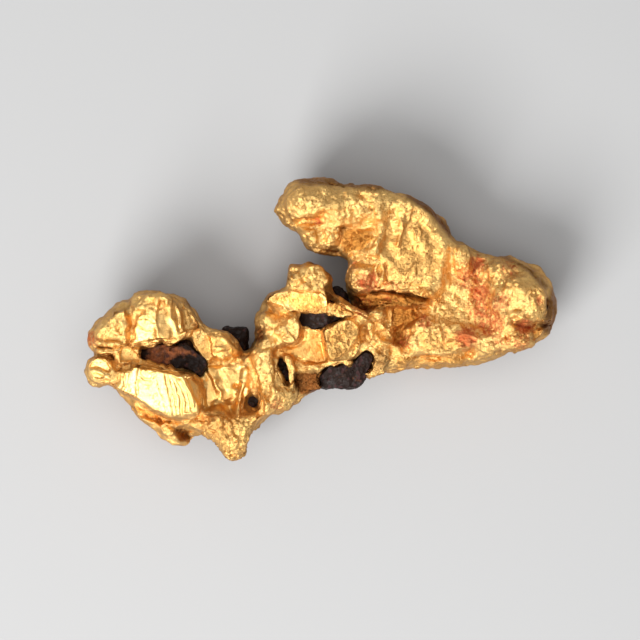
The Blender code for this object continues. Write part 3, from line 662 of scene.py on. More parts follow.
@dataclass(frozen=True)
class NativeGold:
    """Native gold as rivers leave it: grainy and matt in the hollows, rubbed bright on the faces.

    Attributes:
        bright: its colour where it is rubbed clean.
        amber_and_shade: its deeper colour, in broad drifts, and that of the painted shade in the hollows
            and down the sides.
        tarnish_and_shade: the brown of the creases, partly a tarnished film and partly painted shade, in
            the hollows, the grain's pits and on the sides.
        stain: the red of iron stain.
        roughness: how widely it spreads a highlight.
        drift_mm: the width of its broad drifts of colour, in millimetres.
        speck_mm: the width of a speck of stain.
        grain_mm: the width of its finest grain.
        grain_relief: how far that grain stands out, in millimetres.
        flake_mm: the width of one flake of its surface, drawn as coarse as it needs to show.
        flake_relief: how far a flake stands out, in its own widths.
    """

    bright: str = "f8cc80"
    amber_and_shade: str = "e8a24c"
    tarnish_and_shade: str = "6a3410"
    stain: str = "c45a38"
    roughness: float = 0.42
    drift_mm: float = 2.5
    speck_mm: float = 0.4
    grain_mm: float = 0.2
    grain_relief: float = 0.15
    flake_mm: float = 0.5
    flake_relief: float = 0.55

    def material(self) -> bpy.types.Material:
        """Builds the material.

        Returns:
            The new material.
        """
        made = bpy.data.materials.new("native gold")
        made.use_nodes = True
        shader = made.node_tree.nodes["Principled BSDF"]
        shader.inputs["Metallic"].default_value = 1.0
        links = made.node_tree.links
        place = add_node(made, "TexCoord").outputs["Object"]
        hollow, amber_and_shade, tarnish_and_shade, stain, polish = (
            add_node(made, "Attribute", {"attribute_name": name}).outputs["Fac"]
            for name in ("hollow", "amber_and_shade", "tarnish_and_shade", "stain", "polish"))
        # broad drifts of colour, a few millimetres wide, and the deeper colour of painted shade and painted
        # reflection in the hollows and on the steep sides
        drift = add_node(made, "TexNoise", {"Scale": 1 / (self.drift_mm * MM), "Detail": 6.0,
                                            "Roughness": 0.65}, {"Vector": place}).outputs["Fac"]
        drift = add_node(made, "MapRange", {"From Min": 0.4, "From Max": 0.7, "To Min": 0.0,
                                            "To Max": 0.35}, {"Value": drift}).outputs["Result"]
        warm = add_node(made, "Math", {"operation": "ADD", "use_clamp": True},
                        {0: drift, 1: amber_and_shade}).outputs["Value"]
        colour = add_node(made, "Mix", {"data_type": "RGBA", 6: linear(self.bright),
                                        7: linear(self.amber_and_shade)}, {0: warm}).outputs[2]
        # the brown of a tarnished film in the creases, and painted shade: darker in the hollows, in the
        # grain's pits, on the steep sides and along the rims turned from the key light
        coarse = add_node(made, "TexNoise", {"Scale": 1 / (self.grain_mm * MM), "Detail": 3.0,
                                             "Roughness": 0.6}, {"Vector": place}).outputs["Fac"]
        pits = add_node(made, "MapRange", {"From Min": 0.42, "From Max": 0.3, "To Min": 0.0,
                                           "To Max": 0.2}, {"Value": coarse}).outputs["Result"]
        shade_and_tarnish = add_node(made, "Math", {"operation": "MULTIPLY_ADD", 1: 0.3},
                        {0: hollow, 2: tarnish_and_shade}).outputs["Value"]
        shade_and_tarnish = add_node(made, "Math", {"operation": "ADD", "use_clamp": True},
                        {0: shade_and_tarnish, 1: pits}).outputs["Value"]
        colour = add_node(made, "Mix", {"data_type": "RGBA", 7: linear(self.tarnish_and_shade)},
                          {0: shade_and_tarnish, 6: colour}).outputs[2]
        # iron stain, broken up into specks about as wide as the grain, thickest in the pits
        speck = add_node(made, "TexNoise", {"Scale": 1 / (self.speck_mm * MM), "Detail": 4.0,
                                            "Roughness": 0.85}, {"Vector": place}).outputs["Fac"]
        speck = add_node(made, "Math", {"operation": "MULTIPLY_ADD", 1: 0.15},
                         {0: hollow, 2: speck}).outputs["Value"]
        rust = add_node(made, "Math", {"operation": "MULTIPLY_ADD", 1: 0.36},
                        {0: stain, 2: speck}).outputs["Value"]
        rust = add_node(made, "MapRange", {"From Min": 0.7, "From Max": 0.84, "To Min": 0.0,
                                           "To Max": 0.75}, {"Value": rust}).outputs["Result"]
        colour = add_node(made, "Mix", {"data_type": "RGBA", 7: linear(self.stain)},
                          {0: rust, 6: colour}).outputs[2]
        links.new(colour, shader.inputs["Base Color"])
        # rougher in the grain than on the rubbed faces
        gloss = add_node(made, "MapRange", {"From Min": 0.0, "From Max": 1.0,
                                            "To Min": self.roughness + 0.05,
                                            "To Max": self.roughness - 0.05},
                         {"Value": polish}).outputs["Result"]
        gloss = add_node(made, "Math", {"operation": "MULTIPLY_ADD", 1: 0.25},
                         {0: rust, 2: gloss}).outputs["Value"]
        links.new(gloss, shader.inputs["Roughness"])
        # the grain itself, too fine for the mesh: a rough skin of tiny flakes, each with its own tilt
        strength = add_node(made, "MapRange", {"From Min": 0.0, "From Max": 1.0, "To Min": 0.9,
                                               "To Max": 0.2}, {"Value": polish}).outputs["Result"]
        bump = add_node(made, "Bump", {"Distance": self.grain_relief * MM},
                        {"Height": coarse, "Strength": strength}).outputs["Normal"]
        for size in (self.flake_mm, self.flake_mm / 2):
            height = self.flakes(made, place, size * MM)
            bump = add_node(made, "Bump", {"Distance": self.flake_relief * size * MM},
                            {"Height": height, "Strength": strength, "Normal": bump}).outputs["Normal"]
        links.new(bump, shader.inputs["Normal"])
        return made

    def flakes(self, made: bpy.types.Material, place: bpy.types.NodeSocket,
               size: float) -> bpy.types.NodeSocket:
        """The height of a skin of flat flakes.

        Args:
            made: the material.
            place: the place on the piece.
            size: a flake's width, in metres.

        Returns:
            The height, in flakes' widths.
        """
        cells = add_node(made, "VectorMath", {"operation": "SCALE", "Scale": 1 / size},
                         {0: place}).outputs["Vector"]
        flake = add_node(made, "TexVoronoi", {"Scale": 1.0}, {"Vector": cells})
        across = add_node(made, "VectorMath", {"operation": "SUBTRACT"},
                          {0: cells, 1: flake.outputs["Position"]}).outputs["Vector"]
        tilt = add_node(made, "VectorMath", {"operation": "SUBTRACT", 1: (0.5, 0.5, 0.5)},
                        {0: flake.outputs["Color"]}).outputs["Vector"]
        return add_node(made, "VectorMath", {"operation": "DOT_PRODUCT"},
                        {0: across, 1: tilt}).outputs["Value"]


@dataclass(frozen=True)
class Ironstone:
    """Ironstone: purple-black limonite and haematite, rust-brown where it has weathered.

    Attributes:
        dark: the colour of a fresh break.
        rust: the colour of a weathered one.
        pale: the colour of its paler grains.
        patch_mm: the width of a weathered patch, in millimetres.
        grain_mm: the width of one grain.
        relief: how far the grains stand out.
        shine: the strength of its highlights, from 0 to 1.
    """

    dark: str = "1e1009"
    rust: str = "9a5a34"
    pale: str = "4a3030"
    patch_mm: float = 1.1
    grain_mm: float = 0.35
    relief: float = 0.08
    shine: float = 0.2

    def material(self) -> bpy.types.Material:
        """Builds the material.

        Returns:
            The new material.
        """
        made = bpy.data.materials.new("ironstone, broken and weathered")
        made.use_nodes = True
        shader = made.node_tree.nodes["Principled BSDF"]
        links = made.node_tree.links
        place = add_node(made, "TexCoord").outputs["Object"]
        # rust-brown patches, larger on the weathered stretches
        patch = add_node(made, "TexNoise", {"Scale": 1 / (self.patch_mm * MM), "Detail": 7.0,
                                            "Roughness": 0.8}, {"Vector": place}).outputs["Fac"]
        weathered = add_node(made, "Attribute", {"attribute_name": "weathered"}).outputs["Fac"]
        patch = add_node(made, "Math", {"operation": "MULTIPLY_ADD", 1: 0.3},
                         {0: weathered, 2: patch}).outputs["Value"]
        rusty = add_node(made, "MapRange", {"From Min": 0.58, "From Max": 0.82, "To Min": 0.0,
                                            "To Max": 1.0}, {"Value": patch}).outputs["Result"]
        colour = add_node(made, "Mix", {"data_type": "RGBA", 6: linear(self.dark), 7: linear(self.rust)},
                          {0: rusty}).outputs[2]
        # a few paler grains among the dark ones
        grain = add_node(made, "TexVoronoi", {"Scale": 1 / (self.grain_mm * MM)}, {"Vector": place})
        pick = add_node(made, "SeparateColor", {}, {0: grain.outputs["Color"]}).outputs[0]
        speck = add_node(made, "MapRange", {"From Min": 0.86, "From Max": 0.92, "To Min": 0.0,
                                            "To Max": 0.6}, {"Value": pick}).outputs["Result"]
        colour = add_node(made, "Mix", {"data_type": "RGBA", 7: linear(self.pale)},
                          {0: speck, 6: colour}).outputs[2]
        links.new(colour, shader.inputs["Base Color"])
        # some grains glint, others are matt, and each stands out a little
        shader.inputs["Specular IOR Level"].default_value = self.shine
        gloss = add_node(made, "MapRange", {"From Min": 0.0, "From Max": 1.0, "To Min": 0.45,
                                            "To Max": 0.85}, {"Value": pick}).outputs["Result"]
        links.new(gloss, shader.inputs["Roughness"])
        bump = add_node(made, "Bump", {"Distance": self.relief * MM, "Strength": 1.0},
                        {"Height": grain.outputs["Distance"]}).outputs["Normal"]
        links.new(bump, shader.inputs["Normal"])
        return made


# outlines that more than one table reads
WAIST_FRONT = ("-7.4,-3.4 -5.2,-2.4 -4.9,-6.4 -3.4,-7.4 -2.2,-5.8 -1.6,-8.2 -3.4,-10.2 -5.8,-10.4 "
               "-6.4,-8.2 -7.6,-6.2")
ARM_TOP = "-5.4,12 -3.8,14.8 -1.6,15.5 2,15.4 6.4,14.4 6.4,11.2 4.8,10.6 1,10.6 -2.6,11 -4.4,10.6"
PLATE_FACE = "6.6,3.7 12,3.3 14.1,6 13.6,9.4 11,12 7,11.6 6.2,8"
UNDER_LIP = "4.4,2.6 11.6,2.6 11.4,1 4.6,1"
ARM_HOLLOW = "2.2,10.2 5.6,10.2 6.2,9 4.8,7.3 2.6,6.9 1.8,8.2"
RECESS = "7.4,1.6 11.2,1.4 10.6,-0.6 9.6,-1.6 9.8,-3.6 8,-3"
FOOT_RIM = "8,-3.9 16,-3.7 16.4,-6.2 8,-6.4"

# the upper left lobe: its bright front face, its dull left and steep right faces
CROWN = Region(
    facets=(
        Facet("-24.6,-2.6 -24.4,-1.2 -22.6,0.9 -21.2,1.3 -21,-0.6 -21.2,-2.7", lean=(0.24, 0.32), hold=0.7),
        Facet("-20.4,0.2 -19.6,0.7 -18.7,0.75 -17.95,0.1 -17.9,-2.2 -19.2,-2.6 -20.9,-2.8 -20.2,-1.9 "
              "-20.6,-1", lean=(0.26, 0.3), offset=0.1, hold=0.95),
        Facet("-17.9,2.4 -17.2,2.3 -16.8,0.6 -16.3,-1.4 -16.4,-2.5 -17.9,-2.3",
              lean=(-0.22, -0.05), hold=0.9),
        Facet("-15.4,2.5 -14.5,1.7 -13.3,-0.1 -12.6,-1 -14,-1.2 -15,-1.3 -15.4,0.4",
              lean=(-0.75, -0.1), hold=0.7),
        Facet("-20.8,1.7 -19.4,2.4 -18.1,2.5 -17.9,1 -19.4,1 -20.6,0.8", lean=(0.05, -0.35), hold=0.6),
    ),
    strokes=(
        Stroke("-20.7,1.4 -20.8,0 -20.7,-1.3 -21.1,-2.8", 0.4, -0.2),
        Stroke("-17.95,2.6 -18,0.6 -17.95,-2.2", 0.35, 0.16),
        Stroke("-20.3,0.02 -19.5,0.17 -18.6,0.15 -18.1,-0.25", 0.2, -0.16),
        Stroke("-20.6,-0.55 -19.9,-0.75 -19.2,-1.05 -18,-1.2", 0.18, -0.16),
        Stroke("-19.4,-1.32 -18.7,-1.5 -18,-1.5", 0.14, -0.1),
        Stroke("-20.9,-2.25 -20.4,-2 -20.2,-1.6", 0.2, -0.14),
        Stroke("-19.6,-2.55 -18.9,-2.15 -18.1,-2.2", 0.24, -0.16),
        Stroke("-17,2.3 -16.9,2 -16.65,1.3", 0.28, 0.2),
        Stroke("-16.6,1.1 -16.3,0.3 -15.95,-0.7 -15.75,-1.6", 0.26, 0.14),
        Stroke("-16.1,1.6 -15.9,0.6 -15.6,-0.6 -15.4,-1.8", 0.22, -0.12),
        Stroke("-15.8,1.5 -15.5,0.8 -15.4,-0.1 -15.05,-1.3", 0.26, 0.16),
        Stroke("-15.2,2.3 -15,1 -14.7,-0.2 -14.9,-1.4", 0.3, -0.13),
        Stroke("-22.4,-0.1 -22.55,-0.8 -22.3,-1.5 -21.8,-1.8 -21.3,-1.5", 0.25, 0.18),
        Stroke("-21.8,-0.4 -21.7,-1", 0.5, 0.2),
        Stroke("-22.1,-0.5 -22.1,-1.2 -21.7,-1.5", 0.2, -0.16),
        Stroke("-23.2,0.5 -22.9,-0.5 -23.1,-1.5", 0.24, 0.14),
        Stroke("-23.9,-0.4 -23.6,-1.4 -23.8,-2.2", 0.24, 0.12),
        Stroke("-21.6,1.5 -20.6,1.9 -19.4,2.5 -18.4,2.8", 0.18, -0.16),
        Stroke("-21.2,1.2 -20.2,1.6 -19.2,1.9 -18.2,1.9", 0.16, -0.12),
        Stroke("-20.6,1.1 -19.6,1.35 -18.6,1.4 -18,1.2", 0.14, -0.1),
        Stroke("-17.4,2.8 -16.7,2.6 -16.2,2.2", 0.16, -0.2),
        Stroke("-17,2.95 -16.3,2.7 -15.8,2.3", 0.14, 0.16),
        Stroke("-24.95,-1.6 -24.85,-2.2", 0.2, -0.3),
        Stroke("-25.1,-2.7 -24.7,-3", 0.2, -0.2),
    ),
    grains=(
        Grain("-21.8,1.3 -18.6,3.2 -15.2,2.8 -15.6,1.6 -18.2,1.6 -20.8,1", 0.45, 0.1),
        Grain("-15.2,2.6 -12.6,-1.2 -14.4,-1.2 -15.2,0.6", 0.4, 0.08),
        Grain("-25.2,-1 -22.4,1.6 -21.3,1.2 -21.4,-2.6 -24.6,-2.6", 0.6, 0.12),
    ),
)

# the round knob at the left end, and the dip between it and the crown
KNOB = Region(
    facets=(
        Facet("-25.8,-5 -24.8,-3.9 -23.4,-3.8 -22,-4.5 -21.4,-6 -22.1,-7.4 -23.6,-7.7 -25.3,-6.9",
              lean=(0.5, 0.2), hold=0.55, blend=0.6, level=12.6),
        Facet("-25.4,-5.3 -24.9,-4.5 -24.2,-4.1 -23.2,-4.5 -22.9,-5.3 -23.2,-5.8 -24.3,-5.3",
              lean=(0.22, 0.3), offset=0.12, hold=0.8, blend=0.2),
        Facet("-25.5,-5.7 -24.5,-5.7 -23.5,-6.1 -23.9,-6.7 -24.9,-6.5",
              lean=(0.24, 0.36), offset=0.05, hold=0.8, blend=0.2),
        Facet("-23.2,-4.3 -21.4,-3.9 -20.2,-4 -20,-5.4 -21.4,-5.9 -22.6,-5.8",
              lean=(0.25, -0.75), hold=0.9, blend=0.35, level=12.1),
        Facet("-24.8,-3 -22.6,-2.9 -20.9,-2.7 -19.5,-3 -19.5,-4.7 -20.6,-5.2 -22.2,-5.1 -23,-4.1 "
              "-24.8,-3.9", lean=(0.1, 0.1), offset=1.5, hold=0.9, blend=0.4),
    ),
    strokes=(
        Stroke("-22.2,-4.4 -21.8,-5.3 -21.95,-6.4 -22.7,-7.4 -23.6,-7.8", 0.35, -0.35),
        Stroke("-25.5,-5.15 -24.5,-5.25 -23.1,-6", 0.22, -0.22),
        Stroke("-25.2,-6.7 -24.2,-7 -23.2,-6.8", 0.2, -0.2),
        Stroke("-24.9,-3.75 -23.6,-3.7 -22.4,-3.9 -21.2,-4.4", 0.24, -0.24),
        Stroke("-24.2,-3.4 -23,-3.3 -21.4,-3.2 -20.8,-3.2", 0.3, -0.2),
        Stroke("-23.9,-3.5 -23,-3.5 -22.2,-3.55", 0.18, 0.14),
        Stroke("-22,-4.4 -21.6,-4.9", 0.3, 0.2),
        Stroke("-21.6,-3.9 -21,-4.1 -20.6,-4.5", 0.3, 0.12),
    ),
)

# the bright, furrowed block under the seam
BLOCK = Region(
    facets=(
        Facet("-22.7,-7.5 -22,-6.5 -21.3,-5.4 -19.8,-5 -17.8,-5.3 -16.1,-5.9 -15.3,-6.5 -14.5,-7.5 "
              "-13.95,-8.7 -13.7,-9.7 -14.6,-10.2 -16.2,-10.8 -17.2,-10.5 -18.5,-9.8 -20.2,-8.8 "
              "-21.6,-8.2", lean=(0.14, 0.32), hold=0.75),
        Facet("-15.5,-5.8 -14.3,-6.3 -13.3,-6.9 -12.9,-8 -12.8,-9.6 -13.2,-10.1 -13.8,-8.9 -14.4,-7.4",
              lean=(-0.75, 0.1), hold=0.85),
        Facet("-21,-8.9 -20.2,-9 -18.6,-10 -17,-10.8 -16,-11.1 -16.4,-11.6 -18,-11.4 -20,-10.8",
              lean=(0.25, 0.9), hold=0.8),
    ),
    strokes=(
        Stroke("-17.2,-5.3 -16.8,-6.5 -16.4,-8 -16.2,-9.4 -16.1,-10.6", 0.17, -0.24),
        Stroke("-16.8,-5.5 -16.3,-6.8 -15.9,-8.2 -15.7,-9.5 -15.6,-10.5", 0.16, -0.26),
        Stroke("-16.4,-5.8 -15.9,-6.9 -15.4,-8.2 -15.2,-9.4 -15.1,-10.4", 0.17, -0.28),
        Stroke("-16,-6.1 -15.4,-7.1 -14.9,-8.2 -14.7,-9.2 -14.6,-10.1", 0.17, -0.28),
        Stroke("-15.5,-6.4 -14.9,-7.3 -14.5,-8.2 -14.3,-9.2 -14,-10", 0.16, -0.26),
        Stroke("-15.2,-6.6 -14.5,-7.5 -14.1,-8.5 -13.9,-9.5", 0.14, 0.14),
        Stroke("-17.7,-6.8 -17.2,-8.2 -16.9,-9.6 -16.8,-10.4", 0.16, -0.1),
        Stroke("-17.9,-7.6 -17.6,-8.8 -17.5,-9.8", 0.18, -0.07),
        Stroke("-18.9,-7.6 -18.5,-8.6 -18.3,-9.4", 0.2, 0.06),
        Stroke("-19.75,-4.9 -19.8,-5.9 -19.2,-6.6 -18.4,-6.75 -18.1,-6.1", 0.17, -0.17),
        Stroke("-19.4,-4.9 -19.3,-5.35 -18.7,-5.65 -18.1,-5.5", 0.15, -0.14),
        Stroke("-18.6,-4.9 -18.2,-5.4 -17.9,-5.9", 0.14, -0.1),
        Stroke("-19.9,-6.6 -19.4,-7.05 -18.6,-7.15 -18,-6.9", 0.14, -0.1),
        Stroke("-21.25,-5.3 -21.4,-6.4 -21.5,-7.8", 0.2, -0.2),
        Stroke("-20.75,-5.3 -20.9,-6.4 -20.9,-7.6 -21,-8.3", 0.16, -0.14),
        Stroke("-19.95,-5.4 -19.85,-6.6 -20.1,-7.5 -20.05,-8", 0.18, -0.2),
        Stroke("-20.9,-7.9 -20.45,-8.8 -20.1,-7.9", 0.15, 0.12),
        Stroke("-22,-6.6 -22.3,-7.6", 0.2, -0.12),
        Stroke("-15.6,-5.75 -14.6,-6.7 -14,-7.9 -13.6,-9.2 -13.4,-10.1", 0.22, 0.14),
        Stroke("-13.4,-6.9 -13,-8.2 -12.9,-9.6", 0.45, -0.25),
        Stroke("-15.9,-11.3 -14.6,-11 -13.5,-10.6 -12.9,-9.9", 0.3, -0.45),
        Stroke("-14.6,-10.1 -13.8,-10.2 -13.2,-10.6", 0.25, -0.2),
    ),
)

# the rough shelf under the block, with its hole
SHELF = Region(
    facets=(
        Facet("-15.8,-11.75 -14.4,-11.35 -13.1,-11.1 -12.8,-11.7 -12.9,-12.3 -13.6,-12.05 -14.6,-11.95",
              lean=(0.24, 0.34), offset=0.2, hold=0.95, blend=0.2),
        Facet("-17.7,-11.5 -16.9,-11.5 -16.6,-12.2 -16.9,-12.9 -17.6,-12.6",
              lean=(0.2, 0.3), offset=0.1, hold=0.8, blend=0.25),
    ),
    steps=(
        Step("-20.9,-9.9 -19.2,-10.5 -17.6,-11.3 -16.6,-11.7 -15.9,-11.9", 0.7, 0.3),
        Step("-20.2,-10.9 -18.7,-11.5 -17.6,-12.2 -17,-12.9", 0.6, 0.3),
    ),
    strokes=(
        Stroke("-19,-9.8 -18.3,-10.4 -18.2,-11.3", 0.22, 0.25),
        Stroke("-18.5,-9.9 -17.9,-10.6 -17.8,-11.2", 0.18, -0.2),
        Stroke("-17.9,-11.1 -17.6,-11.5", 0.3, -0.45),
        Stroke("-20.3,-9.6 -19.6,-10.2 -19.2,-11", 0.2, -0.14),
        Stroke("-20.8,-9.3 -19.9,-9.7 -18.9,-10.5", 0.18, 0.12),
        Stroke("-15.9,-12.3 -15,-12.6 -14.6,-13.1", 0.65, -0.9),
        Stroke("-16.2,-12 -15.2,-12.1 -14.2,-12.2", 0.3, -0.5),
        Stroke("-16.9,-13 -15.6,-13.4 -14.8,-13.5", 0.25, 0.2),
        Stroke("-14.3,-12.4 -14,-12.7", 0.2, 0.2),
        Stroke("-21.6,-8.4 -21,-9.3 -20.6,-10.1", 0.2, 0.12),
    ),
    grains=(
        Grain("-21.6,-8.4 -20.8,-9.2 -16.4,-11.6 -16,-13.4 -18.4,-12.6 -21,-10.4", 0.4, 0.09),
    ),
)

# the small lump right of the seam, and the dip to the waist
SADDLE = Region(
    facets=(
        Facet("-13.7,-2 -12.2,-1.9 -12.1,-3.1 -12.9,-3.7 -13.7,-3", lean=(0.2, 0.1), hold=0.6),
        Facet("-11.9,-1.9 -10.6,-2 -9.4,-3.4 -10.2,-3.3 -11.9,-3", lean=(-0.2, 0.1), hold=0.7),
        Facet("-9.9,-2.6 -9,-3.6 -8.9,-4 -10,-4.3 -10.4,-3.6", lean=(-0.35, 0.35), hold=0.8),
    ),
    strokes=(
        Stroke("-13.9,-1.9 -12.6,-1.55 -11,-1.55 -10.1,-2.1 -9.4,-3", 0.14, -0.17),
        Stroke("-13.9,-2.15 -12.8,-1.85 -12.2,-1.8", 0.12, -0.14),
        Stroke("-13.9,-2.4 -13.1,-2.25", 0.12, -0.12),
        Stroke("-11.2,-1.8 -10.4,-2.1 -9.8,-2.8", 0.12, -0.11),
        Stroke("-11.98,-1.9 -11.9,-2.6 -12,-3.1", 0.2, 0.2),
        Stroke("-12.25,-2 -12.25,-3", 0.14, -0.11),
        Stroke("-13,-2.2 -12.7,-2.8 -12.8,-3.2", 0.25, 0.15),
        Stroke("-12.4,-2.7 -12.6,-3.3", 0.2, -0.17),
        Stroke("-12.4,-3.4 -11.4,-3.8 -10.3,-3.5", 0.42, -0.29),
        Stroke("-11.9,-3.2 -11,-3 -10.2,-3", 0.2, 0.08),
        Stroke("-13.2,-4 -12.3,-4.5 -11.3,-4.6 -10.6,-4.3", 0.35, 0.22),
        Stroke("-11.8,-4.1 -11.5,-4.6", 0.2, -0.17),
        Stroke("-10.7,-4.2 -10.2,-4.6 -9.6,-4.2", 0.26, 0.18),
        Stroke("-12.4,-4.95 -11,-5.05 -9.6,-4.9 -8.6,-4.5", 0.28, -0.22),
        Stroke("-9.4,-3.9 -8.6,-4.1 -8,-3.9", 0.3, -0.22),
        Stroke("-9,-3.4 -8.2,-3.4", 0.2, 0.11),
    ),
    grains=(
        Grain("-13.6,-2.2 -12.2,-2 -10.6,-3.6 -9.6,-4.6 -12.2,-4.8 -13.4,-3.6", 0.35, 0.08),
    ),
)

# the smooth hollow right of the block, with the round pit
BASIN = Region(
    facets=(
        Facet("-12.5,-5.3 -12,-6.3 -11,-8.9 -12.5,-9.3 -12.8,-8 -12.7,-6.6",
              lean=(0.12, 0.1), offset=-0.1, hold=0.9),
        Facet("-11.7,-5.4 -9.9,-5.3 -9,-6 -9.1,-8.6 -10.6,-8.9 -11.3,-7.2", lean=(-0.1, 0.1), hold=0.9),
        Facet("-8.6,-7.4 -7.9,-7.3 -7.8,-8.1 -8.3,-8.9 -8.7,-8.6",
              lean=(0.24, 0.34), offset=0.1, hold=0.9, blend=0.2),
        Facet("-8.3,-5 -7.9,-5.5 -7.9,-6.1 -8.5,-6.2 -8.6,-5.8",
              lean=(0.3, 0.34), offset=0.15, hold=0.9, blend=0.2),
        Facet("-7.8,-6.5 -7.3,-6.9 -7.3,-7.6 -7.9,-7.5",
              lean=(0.24, 0.34), offset=0.15, hold=0.9, blend=0.2),
        Facet("-7,-7.3 -6.4,-8.4 -5.95,-9.8 -6.1,-10.7 -7.1,-10.9 -6.9,-9.9 -6.7,-8.8",
              lean=(0.3, 0.3), offset=0.15, hold=0.9, blend=0.2),
    ),
    strokes=(
        Stroke("-12.3,-5.2 -11.95,-6.1 -11.4,-7.3 -10.9,-8.6", 0.24, 0.18),
        Stroke("-12.6,-5.6 -12.35,-6.3 -11.9,-7.5 -11.4,-8.8", 0.22, -0.08),
        Stroke("-11.4,-5.4 -10.9,-6.5 -10.4,-8", 0.2, -0.07),
        Stroke("-10.7,-5.6 -10.1,-6.6 -9.9,-7.8", 0.24, 0.05),
        Stroke("-9.5,-7.9 -9.25,-8.1 -9.25,-8.6", 0.2, 0.15),
        Stroke("-8.9,-5.4 -9,-6.6 -8.9,-7.6", 0.2, -0.12),
        Stroke("-8.75,-6.7 -8.2,-6.9", 0.2, -0.12),
        Stroke("-9.45,-7.3 -9.35,-7.4", 0.36, -0.54),
        Stroke("-12.9,-9.7 -11.6,-9.3 -10.2,-9.5 -9.2,-9.1 -8.6,-8.95", 0.22, -0.17),
        Stroke("-9,-9.2 -9.1,-10 -9,-10.7", 0.34, 0.25),
        Stroke("-8.95,-9 -8.6,-9.8 -8.8,-10.9", 0.2, -0.17),
        Stroke("-9.1,-11 -8.2,-11.2 -7.6,-10.9", 0.22, -0.12),
        Stroke("-8.3,-10 -7.7,-10.6", 0.4, 0.06),
        Stroke("-6.9,-7.2 -6.4,-8.2 -5.9,-9.6 -5.5,-10", 0.2, 0.1),
    ),
)

# the knobbly tail at the lower left
TAIL = Region(
    facets=(
        Facet("-13,-12.2 -12.4,-12.2 -12,-13.2 -12.6,-13.6 -13,-12.9",
              lean=(0.24, 0.3), offset=0.1, hold=0.8, blend=0.3),
    ),
    strokes=(
        Stroke("-9.8,-14.85 -9.4,-14.8", 0.36, -0.5),
        Stroke("-8.6,-14.8 -8.1,-14.75", 0.26, -0.5),
        Stroke("-9.3,-14.9 -9.25,-15.5", 0.26, -0.5),
        Stroke("-12.1,-12.3 -11.9,-12.35", 0.26, -0.4),
        Stroke("-9.6,-13.8 -9.4,-13.5", 0.22, -0.3),
        Stroke("-10.2,-14.2 -10.6,-14.9", 0.3, 0.24),
        Stroke("-8.2,-12.2 -8.4,-13", 0.24, 0.26),
        Stroke("-9.8,-12.7 -9.4,-13.1", 0.3, 0.24),
        Stroke("-9.9,-9.8 -9.7,-11.2 -9.3,-12.4", 0.35, -0.16),
        Stroke("-11.9,-11.2 -12.4,-11.9", 0.4, 0.2),
        Stroke("-11.2,-10.6 -10.8,-11.4", 0.45, 0.2),
    ),
    grains=(
        Grain("-13.2,-9.9 -10.2,-9.8 -10,-12.2 -9.2,-12.8 -7.4,-11.6 -6.2,-11.2 -7.2,-15.8 -11.2,-15.9 "
              "-13.4,-13.4", 0.8, 0.2),
        Grain("-13.2,-9.9 -10.2,-9.8 -6.2,-11.2 -7.2,-15.8 -11.2,-15.9 -13.4,-13.4", 0.35, 0.1),
    ),
)

# the waist, with the narrow slot and its two lips
COLUMN = Region(
    facets=(
        Facet("-7.4,-3.6 -5.2,-2.8 -5,-5.6 -5.4,-9.6 -6.2,-9 -7,-6.4",
              lean=(0.2, 0.28), hold=0.4, blend=0.5),
        Facet("-3.9,-3.9 -3.2,-4.3 -2.8,-5.6 -2.6,-6.6 -3.3,-7.4 -3.7,-5.6",
              lean=(0.3, 0.2), offset=0.45, hold=0.95, blend=0.15),
        Facet("-5.3,-3.9 -4.6,-4.2 -4.65,-5 -4.45,-5.6 -4.1,-6 -3.75,-6.9 -3.5,-7.6 -5,-7.6",
              lean=(-0.5, -0.25), offset=0.7, hold=0.95, blend=0.15),
    ),
    strokes=(
        Stroke("-7.7,-3.65 -7.2,-3.5 -6.9,-3.2", 0.2, 0.26),
        Stroke("-7.2,-0.9 -6.4,-1.2 -5.8,-1.7", 0.35, -0.22),
        Stroke("-7.3,-2 -6.6,-2.3 -6.2,-1.8", 0.3, -0.22),
        Stroke("-6.9,-1.5 -6.3,-1.6 -6.1,-2.2", 0.22, 0.22),
        Stroke("-6.6,-0.4 -6,-0.9", 0.25, 0.15),
        Stroke("-7.4,-2.9 -6.9,-2.6", 0.2, 0.15),
        Stroke("-5.6,-0.9 -5.2,-1.5 -5,-1.2", 0.25, 0.19),
        Stroke("-5.4,-2 -5.1,-3 -5.2,-4.2 -4.9,-5.2", 0.3, -0.19),
        Stroke("-6.3,-2.9 -6.2,-4.2 -6.4,-5.4", 0.5, 0.11),
        Stroke("-5.7,-5.5 -5.4,-7 -4.6,-8.2", 0.5, 0.09),
        Stroke("-2.9,-4.6 -2.5,-5.4 -2.3,-6.2", 0.22, -0.22),
        Stroke("-3.95,-4 -3.7,-5 -3.45,-6.3 -3.3,-7", 0.16, 0.19),
        Stroke("-2.9,-4 -3.2,-3.8 -3.7,-3.95", 0.22, 0.22),
        Stroke("-4.3,-7.9 -3.8,-8.7 -3.9,-9.5", 0.2, 0.11),
        Stroke("-4.4,-9.7 -3.8,-9.8", 0.2, 0.15),
        Stroke("-8.3,-4.6 -7.7,-5 -7.5,-5.8", 0.2, -0.11),
    ),
    grains=(
        Grain("-7.6,0.9 -6,0.9 -5.2,-0.4 -5.4,-2.6 -7.2,-3.4 -7.6,-1.2", 0.45, 0.14),
        Grain(WAIST_FRONT, 0.55, 0.12),
        Grain(WAIST_FRONT, 0.28, 0.06),
    ),
)

